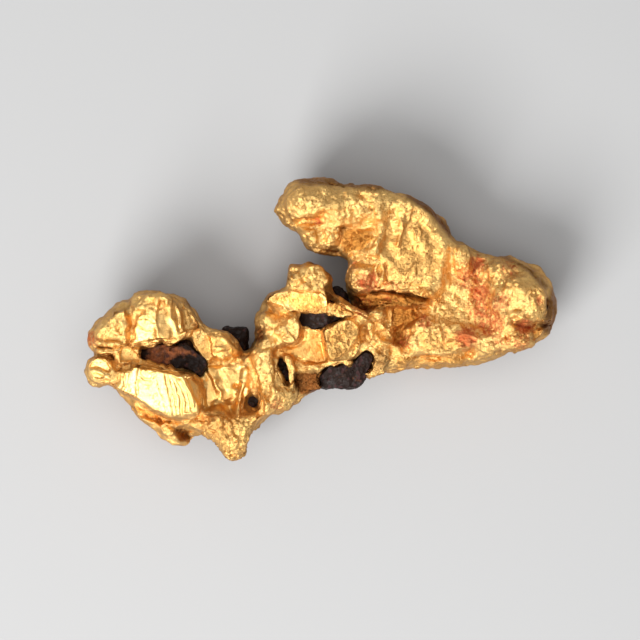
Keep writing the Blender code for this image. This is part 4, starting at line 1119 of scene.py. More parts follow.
# the smooth bowl in the middle, the cheek on its left and the thick flake on its right
HEART = Region(
    facets=(
        Facet("-3.5,0.1 -2.6,0.5 -2.25,-0.4 -2.1,-2.1 -2.6,-2.4 -3.2,-1.6 -3.8,-0.6",
              lean=(0.1, 0.32), offset=0.25, hold=0.95, blend=0.2),
        Facet("-5.2,-1.2 -4.4,-0.6 -3.8,-0.7 -3.2,-1.7 -2.7,-2.4 -3.4,-2.7 -4.2,-2.3 -5,-1.8",
              lean=(0.3, 0.25), offset=0.1, hold=0.7, blend=0.25),
        Facet("-2,-0.5 -0.9,-0.9 0.1,-1.3 0.4,-3 0.8,-4.7 -0.5,-5 -2.8,-4.2 -4.8,-3.6 -4.9,-3 -3.5,-3 "
              "-2,-2.5", lean=(-0.2, 0.12), hold=0.95),
        Facet("0.1,-1.2 0.6,-0.85 1.9,-0.45 3,-0.2 3.7,-0.4 4.3,-1.1 4.4,-1.6 3.9,-2.1 3,-3.1 2.3,-4 "
              "1.6,-4.55 1,-4.5 0.75,-3.7 0.35,-2.5",
              lean=(-0.22, 0.0), offset=0.15, hold=0.95, blend=0.15),
        Facet("4.4,-1.75 4.4,-2.4 3.7,-3.9 3.3,-4.4 2.1,-4.45 2.6,-3.8 3.3,-2.9 4,-2.2",
              lean=(-0.6, 0.5), offset=-0.1, hold=0.95, blend=0.15),
    ),
    steps=(
        Step("-2.6,0.5 -2.25,-0.4 -2.05,-2.2 -2.6,-2.5 -3.4,-2.75", 0.9, -0.45),
    ),
    strokes=(
        Stroke("0.05,-1.4 0.4,-2.6 0.8,-3.8 1.05,-4.5", 0.2, 0.16),
        Stroke("0.3,-1 1.9,-0.5 3.2,-0.2", 0.16, 0.1),
        Stroke("4.3,-1.2 4.2,-2 3.1,-3.1 2.3,-4.1", 0.16, 0.12),
        Stroke("1.2,-1.4 1,-2.2 1.6,-2.8", 0.3, -0.12),
        Stroke("1.9,-1.6 2.3,-2.2 2.2,-3", 0.25, -0.12),
        Stroke("1.6,-1.2 1.7,-2 1.5,-3.4 1.6,-4.2", 0.22, 0.12),
        Stroke("2.8,-0.8 2.7,-1.7 2.9,-2.4", 0.22, 0.12),
        Stroke("3.5,-0.8 3.3,-1.6", 0.2, -0.12),
        Stroke("4.35,-2.1 4.15,-2.4", 0.24, -0.35),
        Stroke("3.4,-3.2 3,-4.2", 0.2, -0.12),
        Stroke("1.2,-4.75 2.2,-4.7 3.2,-4.75", 0.18, 0.2),
        Stroke("-2.9,-4.1 -2,-4.75 -0.5,-5.05 0.9,-5", 0.16, -0.14),
        Stroke("-2.7,-4.6 -1.9,-5.3 -0.6,-5.5", 0.2, -0.1),
        Stroke("-5,-1.4 -4.4,-1.3", 0.28, 0.25),
        Stroke("-4.5,-1.9 -3.9,-1.4", 0.2, -0.22),
        Stroke("-4,-2.1 -3.5,-1.7", 0.2, -0.16),
        Stroke("-4.8,-0.9 -4.3,-0.6", 0.2, 0.18),
        Stroke("-5.1,1 -4.2,0.5 -3.3,0.4", 0.55, -0.4),
        Stroke("-2.5,0.5 -2.2,-0.6 -2.05,-2.1", 0.14, 0.12),
        Stroke("0.3,-3.4 0.6,-4.4", 0.25, -0.14),
    ),
    grains=(
        Grain("0.4,-1.1 3.6,-0.5 4.2,-1.3 2.2,-3.9 1.3,-4.3", 0.5, 0.09),
        Grain("-5.1,-1.2 -3.9,-0.6 -3,-2.3 -4.6,-2.1", 0.4, 0.08),
    ),
)

# the peak over the open bay, with the ledge under it
CREST = Region(
    facets=(
        Facet("-3.6,5.9 -2,5.9 -2.3,5.2 -2.9,5.1 -3.6,5.3",
              lean=(0.24, 0.3), offset=0.1, hold=0.9, blend=0.2),
        Facet("-1.9,5.7 -0.3,6 0.9,4.7 1,3.9 0.4,3.3 -0.8,3.8 -1.8,4.1", lean=(-0.12, -0.1), hold=0.7),
        Facet("-2.2,4.1 -1.5,4.1 -0.9,3.4 -1.2,3 -2,3", lean=(0.2, 0.3), offset=0.15, hold=0.9, blend=0.2),
        Facet("-6.2,2.2 -5.2,3 -3.6,3.4 -1.9,3.1 0.3,3.2 0.9,2 1.3,0.3 -0.4,0.45 -2.6,0.6 -3.6,0.7 "
              "-4.4,1.4 -5.8,1.7", lean=(-0.04, 0.26), offset=0.75, hold=0.95, blend=0.25),
        Facet("0.5,2.9 1,3 1.6,2.4 2.2,1.9 1.5,1.7 0.8,1.8", lean=(-0.7, 0.1), hold=0.9, blend=0.2),
        Facet("0.9,2 2.4,1.8 3.5,1 4.3,0.3 3.4,0 2.2,0.1 1,0.25 0.5,0.5",
              lean=(-0.05, 0.45), offset=2.1, hold=1.0, blend=0.2),
    ),
    steps=(
        Step("0.9,0.5 -0.2,0.8 -2.4,0.9 -3.6,0.8 -4.2,1.35 -5.1,1.3 -6,1.7", 0.5, -0.25),
    ),
    strokes=(
        Stroke("-3.8,5.15 -3.2,4.95 -2.8,4.7", 0.2, -0.4),
        Stroke("-3.8,4.55 -3.4,4.45", 0.18, -0.5),
        Stroke("-3.7,3.75 -3.2,3.6 -2.4,3.9", 0.2, -0.16),
        Stroke("-3.6,4.8 -2.8,4.5 -2.2,4.6", 0.26, 0.2),
        Stroke("-3.4,4.2 -2.6,4", 0.24, 0.16),
        Stroke("-2.1,5.6 -2.2,4.9 -1.8,4.2", 0.2, -0.14),
        Stroke("-1.9,4.3 -1.5,4.8", 0.22, -0.22),
        Stroke("-1.2,5.2 -0.6,5.3", 0.3, -0.14),
        Stroke("-0.4,4.3 0,4.9", 0.3, -0.14),
        Stroke("-1,3.9 -0.8,3.5", 0.18, -0.18),
        Stroke("0.6,4.4 0.9,3.9", 0.35, 0.14),
        Stroke("-5.8,1.9 -5.1,1.5 -4.2,1.5 -3.6,1", 0.2, 0.14),
        Stroke("-4.2,1.3 -4,1.05", 0.16, 0.2),
        Stroke("-3.5,0.95 -2.5,1.05 -0.4,0.95", 0.18, 0.1),
        Stroke("-5.6,2.5 -4.6,2.9 -3.6,3.1", 0.25, 0.08),
        Stroke("0.5,3.1 0.55,2.4 0.8,1.75", 0.18, 0.16),
        Stroke("1.9,1.9 2.8,1.2 3.6,0.7 4.5,0.2 4.9,-0.4", 0.24, 0.24),
        Stroke("4,0.5 4.6,-0.2 4.8,-0.8", 0.3, 0.22),
        Stroke("2.4,1.3 3.4,0.95 4.4,0.55 5.2,0.2 6,-0.4", 0.16, -0.5),
        Stroke("4.9,-0.6 4.8,-1.6 4.7,-2.4", 0.2, -0.2),
        Stroke("5.2,-1.2 5.1,-2.1 4.7,-3", 0.2, 0.16),
    ),
    grains=(
        Grain("-1.9,5.9 -0.3,6.2 1.2,4.2 0.4,3.2 -1.7,4", 0.45, 0.12),
        Grain("-3.8,6 -2,6 -1.9,4 -3.6,3.4", 0.4, 0.08),
        Grain("-6.2,2 -4,3.3 -3,2.6 -5,1.5", 0.4, 0.05),
    ),
)

# the ground between the crest and the right part
NECK = Region(
    strokes=(
        Stroke("5.5,1.3 6.1,1.3", 0.45, 0.4),
        Stroke("5.5,0.7 6.4,0.8 6.9,1.1", 0.4, 0.3),
        Stroke("6.1,0.1 5.6,0.4", 0.2, -0.3),
        Stroke("6.5,0.5 7,0.3 6.6,-0.1", 0.25, 0.25),
        Stroke("6,1.05 6.4,1", 0.14, -0.22),
        Stroke("7.4,1.4 7.35,0.4 7.5,-0.4 7.2,-0.9", 0.25, -0.35),
        Stroke("7.5,-0.4 7,-0.9 6.8,-0.7", 0.2, 0.3),
        Stroke("5.4,-0.3 6.2,-0.9 6.4,-1.5", 0.35, -0.2),
        Stroke("5.3,-0.9 5.7,-1.6 5.6,-2.2", 0.3, 0.2),
        Stroke("6.1,-2 6.6,-2.5 7.3,-2.9 7.9,-2.6 8,-2 7.4,-1.5", 0.24, 0.3),
        Stroke("6.5,-2 7,-2.3 7.5,-2.2", 0.22, -0.3),
        Stroke("6.2,-1.5 6.9,-1.8", 0.3, -0.2),
        Stroke("5.7,-2.4 6.2,-2.8", 0.22, 0.24),
        Stroke("6.3,-3.2 6.8,-3.7 6.6,-4.3", 0.35, -0.2),
        Stroke("7.2,-3.3 7.3,-4.2 6.9,-5", 0.3, 0.14),
        Stroke("7.7,-3.2 7.8,-4.2", 0.2, -0.2),
        Stroke("8.1,-3.2 8.3,-4.2 8.9,-4.5", 0.45, 0.2),
        Stroke("9.3,-3 9.3,-4", 0.3, 0.14),
        Stroke("6.6,-4.9 7.8,-4.7 9.2,-4.9", 0.2, -0.12),
        Stroke("5.7,-5.7 6.8,-5.6 8,-5.4", 0.25, 0.12),
    ),
    grains=(
        Grain("5.2,1.5 7.2,1.5 7.6,-0.8 5.8,-0.4", 0.4, 0.12),
        Grain("6,-2.8 7.8,-3 8.2,-5.3 5.9,-6.2 6.2,-4", 0.45, 0.12),
    ),
)

# the ball at the plate's lower left corner
BALL = Region(
    facets=(
        Facet("3.2,3.4 3.1,5.4 4.4,6.1 5.6,5.4 5.4,3.6", lean=(0.2, 0.28), hold=0.4),
    ),
    strokes=(
        Stroke("3.4,5.1 3.7,5.6", 0.5, 0.2),
        Stroke("4.4,5.5 5,5.3", 0.6, 0.25),
        Stroke("3.6,4.3 3.3,3.7", 0.5, 0.25),
        Stroke("4.8,4.6 4.3,4.6", 0.5, 0.2),
        Stroke("4.9,3.5 4.5,3", 0.5, 0.25),
        Stroke("5.5,4.9 5.6,4.3 5.4,3.7", 0.25, -0.3),
        Stroke("4,4 4.5,4.1 5.1,3.9", 0.2, -0.2),
        Stroke("3.9,5.1 4,4.6", 0.18, -0.2),
        Stroke("2.9,4.3 3,5.2 3.4,6 3.9,6.3", 0.16, -0.4),
        Stroke("3.3,6.6 3.9,6.5 4.6,6.6 5.6,6.5 6.3,6.2 7,6.1", 0.25, 0.25),
        Stroke("4,6.2 5,6.1 5.9,6", 0.2, -0.3),
        Stroke("6,6 5.8,5.2 5.8,4.4 6,3.7", 0.24, -0.4),
        Stroke("6.1,5.9 6.7,5.9 6.9,5.3 6.8,4.8", 0.2, 0.3),
        Stroke("6.4,5.5 6.45,5.1", 0.32, -0.45),
        Stroke("6.3,4.6 6.9,4.4 6.5,4", 0.26, 0.3),
        Stroke("6.5,4.35 6.9,4.15", 0.12, -0.3),
        Stroke("7.1,6 7.15,5.2 7.3,4.6 6.9,4", 0.22, -0.3),
        Stroke("6.4,3.5 6.9,3.9 7.1,3.9", 0.16, -0.35),
        Stroke("2.8,3.4 3.6,3.1 4.2,2.8 4.8,2.7", 0.25, -0.4),
    ),
    grains=(
        Grain("2.7,3.2 2.8,5.4 3.9,6.4 5.8,6 5.8,3.6 4.6,2.8", 0.5, 0.14),
        Grain("5.9,3.4 5.9,6 7.2,6 7.4,3.6", 0.4, 0.08),
    ),
)

# the plate's lower edge, and the shade under it
LIP = Region(
    facets=(
        Facet("3,3 5.6,3.3 8.4,3.2 10.4,2.8 12,2.4 12.4,1.4 9,0.9 6.4,1 4.2,1",
              lean=(0.12, 0.1), offset=1.9, hold=0.8, blend=0.7),
        Facet("10,3.05 10.8,3.1 11.9,3.2 11.6,2.9 11.1,2.6 10.4,2.5 10.1,2.7",
              lean=(0.1, 0.3), offset=0.2, hold=0.9, blend=0.15),
    ),
    steps=(
        Step("5.2,3.2 6.2,3.25 7.3,3.05 8,3.1 8.7,3.3 9.4,3 10.2,2.6 11,2.45 11.8,2.8", 0.5, 0.22),
        Step("11.6,1.55 12.4,1.9 13,2.2 13.6,2.6", 0.4, -0.2),
    ),
    strokes=(
        Stroke("3,2.3 4.5,2.3 6,2.5 7.6,2.35", 0.45, -0.25),
        Stroke("3.2,1.9 4.4,1.9 5.4,1.8 6.4,2", 0.2, 0.2),
        Stroke("8.8,2.95 9.4,2.6 9.9,2.2", 0.18, 0.35),
        Stroke("9.9,3.7 10.8,3.6 11.6,3.55", 0.16, -0.25),
        Stroke("9.6,3.4 10.4,3.4 11.4,3.4", 0.12, -0.2),
        Stroke("8.9,3.4 9.6,3.7 10.1,4", 0.2, -0.16),
        Stroke("12.2,1.8 12.9,2.05 13.4,2.4", 0.22, 0.25),
        Stroke("7.3,3.5 7.8,3.9", 0.3, 0.16),
        Stroke("8.2,3.6 8.7,4", 0.22, 0.16),
        Stroke("8.6,3.35 8.8,3.6", 0.14, -0.25),
        Stroke("9.2,4.3 9.4,4.7", 0.2, 0.16),
    ),
    grains=(
        Grain("6.9,3.2 9.6,3.1 9.9,4.4 8,4.6 7.2,4.2", 0.35, 0.09),
        Grain("3.4,1 11,0.8 11.6,2.6 3.2,3", 0.4, 0.12),
    ),
)

# the broad matt plate
PLATE = Region(
    strokes=(
        Stroke("8.6,11.9 8.7,11.1 8.85,10.2", 0.35, 0.18),
        Stroke("9.9,11.8 9.75,11.2 9.3,10.6", 0.28, 0.15),
        Stroke("9.1,11.9 9.6,11.9", 0.25, 0.08),
        Stroke("10.15,11.6 10.1,10.8 9.9,10.3 9.2,9.9", 0.16, -0.08),
        Stroke("8.3,11.6 8.3,10.9 8.5,10.3", 0.14, -0.05),
        Stroke("9,9.9 8.85,9.3 8.6,8.6 8.45,8", 0.22, 0.18),
        Stroke("9.15,9.2 8.95,8.6 8.85,8 8.9,7.4", 0.16, -0.06),
        Stroke("8.35,9.9 8.3,9.4", 0.14, 0.12),
        Stroke("10.1,9.8 10.35,9.3 10.45,8.7 10.6,8.1", 0.14, 0.16),
        Stroke("10.7,10 10.9,9.5 10.85,9 10.95,8.5", 0.22, 0.17),
        Stroke("10,10 10.6,10.1 11.1,9.9", 0.16, -0.07),
        Stroke("11.2,10.7 11.6,10.4 11.9,9.8", 0.22, 0.13),
        Stroke("11.4,10.2 12.1,9.8 12.3,9.2", 0.16, 0.11),
        Stroke("11.4,9.5 11.5,8.5", 0.14, 0.08),
        Stroke("11.3,8.3 11.5,7.6 11.5,6.7", 0.4, 0.08),
        Stroke("10.6,6.1 10.1,5.6 9.7,5.2 9.5,4.7", 0.18, 0.16),
        Stroke("10.6,5.6 10.4,4.9", 0.16, 0.13),
        Stroke("10.7,6.4 10.8,5.6 10.7,5", 0.16, -0.05),
        Stroke("8.2,10.9 7.9,10.6", 0.14, 0.1),
        Stroke("6.4,9.2 6.1,8.6 5.5,8.2", 0.2, 0.18),
        Stroke("6.3,8.1 5.7,7.8", 0.3, 0.18),
        Stroke("5.7,7.3 5,7 4.5,7.2", 0.24, 0.18),
        Stroke("6.1,7.2 6,6.6 6.5,6.3", 0.2, 0.16),
        Stroke("7,7.9 6.7,7.4", 0.18, 0.08),
        Stroke("5.9,9.7 6,9.5", 0.2, 0.15),
        Stroke("7.3,13.4 7.6,12.8", 0.2, 0.08),
        Stroke("8.4,12.4 9.2,12.2", 0.3, 0.1),
        Stroke("9.3,13.5 9.7,13.2", 0.2, 0.1),
        Stroke("10.4,12.4 10.9,12 11.5,11.7", 0.3, 0.07),
        Stroke("10.1,13.2 11.4,12.3 12.6,11 13.6,9.8 14.4,8.8", 0.22, -0.13),
        Stroke("10.6,13.2 11.8,12.3 12.9,11.2 13.9,9.9 14.7,9", 0.14, 0.11),
        Stroke("6.2,14.3 7.6,14.1 9,13.7 10.2,13.2", 0.2, -0.07),
        Stroke("7,13.6 7.5,13.9 8.4,13.9", 0.14, -0.06),
        Stroke("12.4,10.1 12.5,9.7", 0.3, -0.04),
        Stroke("14.2,8.9 14.6,8.4 15.2,8.2", 0.25, -0.11),
        Stroke("13.3,3.9 13.5,3.5", 0.2, 0.07),
        Stroke("7.6,6.4 8.2,5.8 8.8,5.2", 0.4, 0.06),
        Stroke("9.9,4.3 9.6,3.9", 0.2, 0.08),
    ),
    grains=(
        Grain("6.2,14.4 10.6,13.4 14.6,8.8 13.8,8.8 12.2,10.8 10.2,12.4 6.4,12.8", 0.5, 0.08),
        Grain("11,11.4 14,8.6 14.3,4.6 12.4,4 11,6", 0.3, 0.035),
        Grain("6.4,11.4 11,11.4 11,6 12,4 7.4,4.4 6.6,6.4", 0.32, 0.03),
        Grain("11.2,8.2 12,8 12.2,6.4 11.4,6.2", 0.32, 0.08),
    ),
)

# the long arm over the bay, with its hump and its hollow
ARM = Region(
    facets=(
        Facet("2,10.4 4.6,10.3 6.3,10.2 6.1,8.8 4.9,7.3 3,6.8 1.8,7.9",
              lean=(0.42, 0.0), offset=0.35, hold=0.9, blend=0.6),
    ),
    strokes=(
        Stroke("-1.9,15.05 -0.6,15 0.6,14.95 1.6,14.6 2.4,14.6", 0.16, -0.3),
        Stroke("0.8,15.2 1.6,15 2.6,14.9", 0.14, 0.16),
        Stroke("2.8,15 3.8,14.6 4.2,14.1", 0.2, -0.25),
        Stroke("4.2,14.7 5.4,14.5 6.2,14.3", 0.18, -0.2),
        Stroke("-3.9,14.2 -3.2,14.6 -2.4,14.7", 0.25, -0.14),
        Stroke("4.3,13.7 5,13.4 5.6,12.8", 0.5, -0.22),
        Stroke("5.2,12.4 5.8,11.8 5.6,11", 0.5, -0.2),
        Stroke("4.6,14.2 5.6,13.8 6.3,13.9", 0.25, 0.14),
        Stroke("3.4,11.9 3.5,11.4 3.9,11.5", 0.16, -0.25),
        Stroke("2.7,11.9 2.9,11.3", 0.16, -0.18),
        Stroke("0.4,12.8 0.2,12.2 -0.3,11.9", 0.3, 0.14),
        Stroke("-5.2,11.9 -4.6,12.05 -4.1,12.2", 0.14, -0.3),
        Stroke("-4.9,12.9 -4.3,12.8", 0.2, -0.18),
        Stroke("-4.3,11.4 -3.4,11.3 -2.8,11.1", 0.2, -0.22),
        Stroke("-4,10.9 -3.6,10.7 -3.1,10.9", 0.3, 0.25),
        Stroke("-3.6,10.6 -3.2,10.2", 0.14, -0.25),
        Stroke("-3.3,10.8 -2.9,10.3", 0.16, -0.25),
        Stroke("-2.6,10.4 -1.8,10.5 -0.8,10.5 0.1,10.6", 0.16, -0.3),
        Stroke("-1.6,11.05 -1.5,10.95", 0.2, -0.6),
        Stroke("-1,10.9 -0.3,11.3 0.4,11.8", 0.4, -0.3),
        Stroke("-0.4,10.75 -0.2,10.7", 0.22, -0.35),
        Stroke("-2.3,10.2 -1.9,9.6 -1.8,9", 0.24, 0.25),
        Stroke("-1.9,10.1 -1.2,9.9 -0.4,9.9", 0.14, -0.2),
        Stroke("-1.4,9.4 -0.9,9.7 -0.2,10.1", 0.24, 0.2),
        Stroke("-0.6,9.1 -0.4,9.6 0.2,9.9", 0.25, -0.22),
        Stroke("0.6,9.7 0.9,9.2 1.3,9.3", 0.2, 0.22),
        Stroke("1.9,9 2.2,9.6", 0.24, 0.35),
        Stroke("1.2,8.9 1.4,9.6 1.5,10.1", 0.2, 0.22),
        Stroke("0.7,9.4 0.7,8.6", 0.16, -0.25),
        Stroke("1.7,9.6 1.7,8.9", 0.14, -0.25),
        Stroke("-1.3,8.4 -0.8,8 -0.9,7.5", 0.3, 0.2),
        Stroke("0.3,8.1 0.6,7.8", 0.3, 0.25),
        Stroke("0.5,7.5 1.2,7.6 2,7.5", 0.45, -0.5),
        Stroke("-0.2,7.4 -0.5,7.2", 0.3, 0.25),
        Stroke("4.4,8.6 4.3,8 4.4,7.5", 0.14, -0.14),
        Stroke("1.9,10.25 2.9,10.15 4,10.15 4.8,10.5 5.6,10.6", 0.18, -0.16),
        Stroke("3.3,8.2 3.5,8.1", 0.2, -0.2),
        Stroke("2.5,7.4 3.6,7.2 4.6,7.4", 0.25, 0.16),
        Stroke("-2.6,12 -2.2,12.2", 0.4, 0.16),
        Stroke("-1.7,12.6 -1.4,12.1", 0.2, -0.16),
        Stroke("1.4,14.4 1.5,13.7 1.1,13.2", 0.3, 0.14),
        Stroke("1.9,14.2 1.9,13.4", 0.25, -0.14),
        Stroke("2.6,13.8 2.5,13.3", 0.25, -0.14),
    ),
    grains=(
        Grain(ARM_TOP, 0.55, 0.1),
        Grain(ARM_TOP, 0.3, 0.06),
        Grain("-2.6,10.2 0.2,10.4 2.4,9.8 1.9,8.2 0.6,7 -0.8,7.1 -2,8.6", 0.5, 0.14),
        Grain("-4.4,11.4 -2.8,11.2 -2.8,10 -4,10.4", 0.35, 0.08),
    ),
)

# the low step along the lower right edge
STEP_LEDGE = Region(
    facets=(
        Facet("13.8,-2.3 14.6,-2.1 15.4,-2.4 15.7,-3.2 15,-3.6 14,-3.4",
              lean=(0.15, 0.32), offset=0.15, hold=0.7),
        Facet("9.9,-2.6 11.6,-2.4 12.4,-3 12,-3.7 10,-3.8", lean=(0.1, 0.26), offset=0.05, hold=0.7),
        Facet("12,-0.9 13.2,-0.6 13.6,-1.6 12.9,-2.6 12,-2.2", lean=(0.18, 0.1), offset=0.05, hold=0.6),
        Facet("7.7,-0.9 9.2,-0.8 10.4,0.1 9.9,1.5 7.8,1.4", lean=(0.0, -0.1), hold=0.8),
    ),
    steps=(
        Step("9.85,-4.05 11.4,-3.95 12.4,-3.75 13.6,-3.9 15,-3.75 15.7,-3.4", 0.8, 0.3),
        Step("11.1,1.5 11,0.8 10.7,-0.1 10,-0.9 9.4,-1.2 9.2,-2 9.7,-3 9.85,-4", 0.6, 0.3),
    ),
    strokes=(
        Stroke("9.9,-4.15 11.5,-4.1 13.4,-4 15,-3.85 15.6,-3.5", 0.2, -0.3),
        Stroke("11.8,-4.25 12.6,-4.4", 0.3, -0.25),
        Stroke("16.2,-3.7 16.6,-4", 0.32, -0.6),
        Stroke("16.5,-3.4 17.2,-3", 0.25, -0.25),
        Stroke("15,-2.2 15.5,-1.65 16.3,-1.6 17.1,-1.95 17.6,-2.3", 0.2, 0.2),
        Stroke("15.6,-2.1 16.3,-2 17,-2.4", 0.16, -0.25),
        Stroke("16.2,-2.6 16.8,-2.7 17.2,-2.6", 0.3, 0.2),
        Stroke("9.95,1.15 10.5,1.2 10.8,0.7 10.5,0.3 10,0.5 9.95,1.1", 0.18, 0.2),
        Stroke("11.5,0.35 12.1,0.45 12.6,0.1 12.5,-0.6 12,-0.8", 0.16, 0.18),
        Stroke("11.7,-0.1 12.1,-0.4 11.8,-0.7", 0.25, -0.25),
        Stroke("11.1,0 11,-0.6", 0.3, -0.25),
        Stroke("13.05,0.6 13,-0.3 13.3,-1.4 13.2,-2.2", 0.24, 0.22),
        Stroke("11.2,-1.2 10.6,-1.7 10.8,-2.1", 0.18, -0.2),
        Stroke("11.4,-1.5 11.8,-2 11.5,-2.6", 0.2, 0.12),
        Stroke("12.3,-2.6 12.9,-3.1 13.2,-3.6", 0.2, -0.16),
        Stroke("13.6,-2.6 13.7,-3.4", 0.2, -0.16),
        Stroke("8.2,1.2 8.9,1 8.8,0.7", 0.25, 0.14),
        Stroke("8.4,-1.2 9,-1 9.6,-0.2", 0.35, -0.16),
        Stroke("8.3,-2 8.9,-2.6 9.3,-3", 0.35, -0.16),
        Stroke("7.9,-0.6 8.1,-1.6", 0.25, 0.1),
        Stroke("10,-4.7 12,-4.7 14,-4.5 15.6,-4.3", 0.3, 0.14),
        Stroke("15,-5 15.6,-4.6 16,-4.7", 0.18, -0.2),
        Stroke("17.2,-4.4 17.6,-4.2", 0.18, -0.25),
    ),
    grains=(
        Grain("9.6,-1 13.6,-0.8 15.8,-1.8 16.8,-3.2 9.9,-3.9", 0.5, 0.1),
        Grain("7.6,-1.6 11,1.4 11,-0.2 9.4,-3", 0.4, 0.04),
        Grain("9.8,-4.2 16,-4 17.6,-4.8 9.8,-5.3", 0.4, 0.07),
        Grain("12.4,1.6 16.6,2.6 17.2,-0.8 13.4,-1.2", 0.28, 0.05),
    ),
)

# the domed right end, with the knuckle and the valley
DOME = Region(
    facets=(
        Facet("20.3,0.6 20.1,3.3 20.9,4.2 22.4,3.9 23.2,3.1 23.9,1.2 23.9,0.3 22,0.6",
              lean=(0.2, 0.32), offset=0.1, hold=0.7, blend=0.9),
        Facet("24.1,0.2 24.7,1.2 24.9,2.4 25.5,2.2 25.7,0.4 25.4,-0.4 24.4,-0.4",
              lean=(-1.1, -0.3), hold=0.8, blend=0.25),
        Facet("23.3,-1.1 25.2,-0.8 24.4,-1.8 23.4,-2.6 23.1,-2.2",
              lean=(-0.1, 0.4), offset=0.1, hold=0.8, blend=0.25),
        Facet("14.6,5.3 14.6,7.8 15.3,8 15.9,6.9 15.6,5.4", lean=(0.26, 0.24), offset=0.1, hold=0.6),
    ),
    strokes=(
        Stroke("19.9,3.3 20.2,4.1 20.7,4.8 21.6,5", 0.3, -0.3),
        Stroke("20.1,3.2 20.8,3.2 21.4,3.6", 0.22, 0.2),
        Stroke("21.3,4.3 21.9,3.8 22.1,3.4", 0.35, 0.2),
        Stroke("23,3.1 23.4,2 23.8,0.9 24,0.2", 0.25, 0.25),
        Stroke("23.2,1.8 23.5,0.9 23.8,0.3", 0.2, -0.16),
        Stroke("23.7,3.3 24.3,3.4", 0.28, 0.3),
        Stroke("24.1,2.8 24.6,2.4", 0.26, 0.25),
        Stroke("23.2,4.2 23.6,3.6 23.5,3.1", 0.25, -0.2),
        Stroke("21,5.85 21.9,6 22.6,5.5 23.2,5.1", 0.15, -0.3),
        Stroke("22.2,6 23,5.4 23.8,4.6", 0.14, -0.25),
        Stroke("21.2,-0.35 21.8,-0.7 22.4,-0.9 22.9,-1", 0.22, -0.55),
        Stroke("21.3,-0.1 22,-0.3 22.7,-0.5", 0.16, 0.22),
        Stroke("22.9,-1.15 23.3,-0.9 23.3,-0.6", 0.22, -0.3),
        Stroke("23.4,-0.55 24.3,-0.65 25.4,-0.6", 0.2, -0.5),
        Stroke("23.1,-1.6 23.6,-1.3 23.9,-0.9", 0.18, -0.3),
        Stroke("20.3,0.25 21,0.3 21.8,0.15", 0.2, -0.22),
        Stroke("21.9,0.2 22.6,0 23.3,0.1", 0.24, 0.2),
        Stroke("22.4,0.5 22.6,0.4", 0.2, -0.25),
        Stroke("21.4,-1.6 21.5,-1.8", 0.35, 0.25),
        Stroke("22,-1.9 22.1,-2.6", 0.18, -0.22),
        Stroke("22.6,-1.9 22.6,-2.5", 0.16, -0.2),
        Stroke("20.4,-1.7 20.4,-2.5", 0.3, -0.2),
        Stroke("20.9,-1.4 20.8,-2.6 20.9,-3.2", 0.25, 0.16),
        Stroke("20.4,-2.9 20.5,-3.1", 0.6, 0.1),
        Stroke("19.3,5.2 19.6,5.6", 0.4, 0.2),
        Stroke("16.2,4.6 16.8,5.1 17,5.8 17.3,6.4 17.9,6.4", 0.28, -0.5),
        Stroke("16.1,4.3 16.7,4.6 17.3,4.9", 0.2, -0.2),
        Stroke("17.4,4.9 18.1,5", 0.25, 0.22),
        Stroke("16.3,7.6 17,7.3 17.5,7", 0.14, -0.25),
        Stroke("16.5,7.85 17.2,7.5 17.8,7.2", 0.12, -0.2),
        Stroke("16.9,3.2 17.3,2.9 17.7,2.7", 0.25, -0.3),
        Stroke("18.3,1.7 18.5,1.2 18.3,0.8", 0.22, -0.3),
        Stroke("18.9,2.4 18.8,1.6 19,0.9", 0.3, 0.25),
        Stroke("14.9,4.9 15.4,4.6 16,4.4", 0.25, -0.3),
        Stroke("15.7,4.9 15.8,5.4", 0.2, 0.16),
        Stroke("16.4,6.9 16.2,6 16.4,5.3", 0.25, 0.14),
        Stroke("16,7.8 16.1,6.8", 0.18, -0.14),
        Stroke("15.2,7.5 15.1,7", 0.25, 0.14),
        Stroke("19.4,-3.9 20,-3.8 20.6,-3.5", 0.14, -0.2),
        Stroke("17.8,-2.9 18.6,-3.6", 0.5, -0.12),
    ),
    grains=(
        Grain("18.6,-1 19,3.4 19,6.6 21.8,6.4 24.6,4 24.2,0.2 21,-0.6", 0.5, 0.13),
        Grain("16.8,6.8 19.2,6.6 19.2,3.4 18.4,0.8 17,1 16,4", 0.42, 0.13),
        Grain("17,1 18.6,1 21,-0.6 24,-1 22.6,-3.6 18.4,-4.4 17.6,-1.6", 0.4, 0.14),
        Grain("14.4,5 14.3,8.2 16.2,7.8 16.6,5 15.6,4.4", 0.45, 0.12),
        Grain("24.4,-0.6 25,3 25.9,1.8 25.6,-0.8", 0.4, 0.08),
        Grain("16,4.4 14.6,4.6 14.8,3.4 16.6,2.2 17.2,3", 0.3, 0.08),
    ),
)

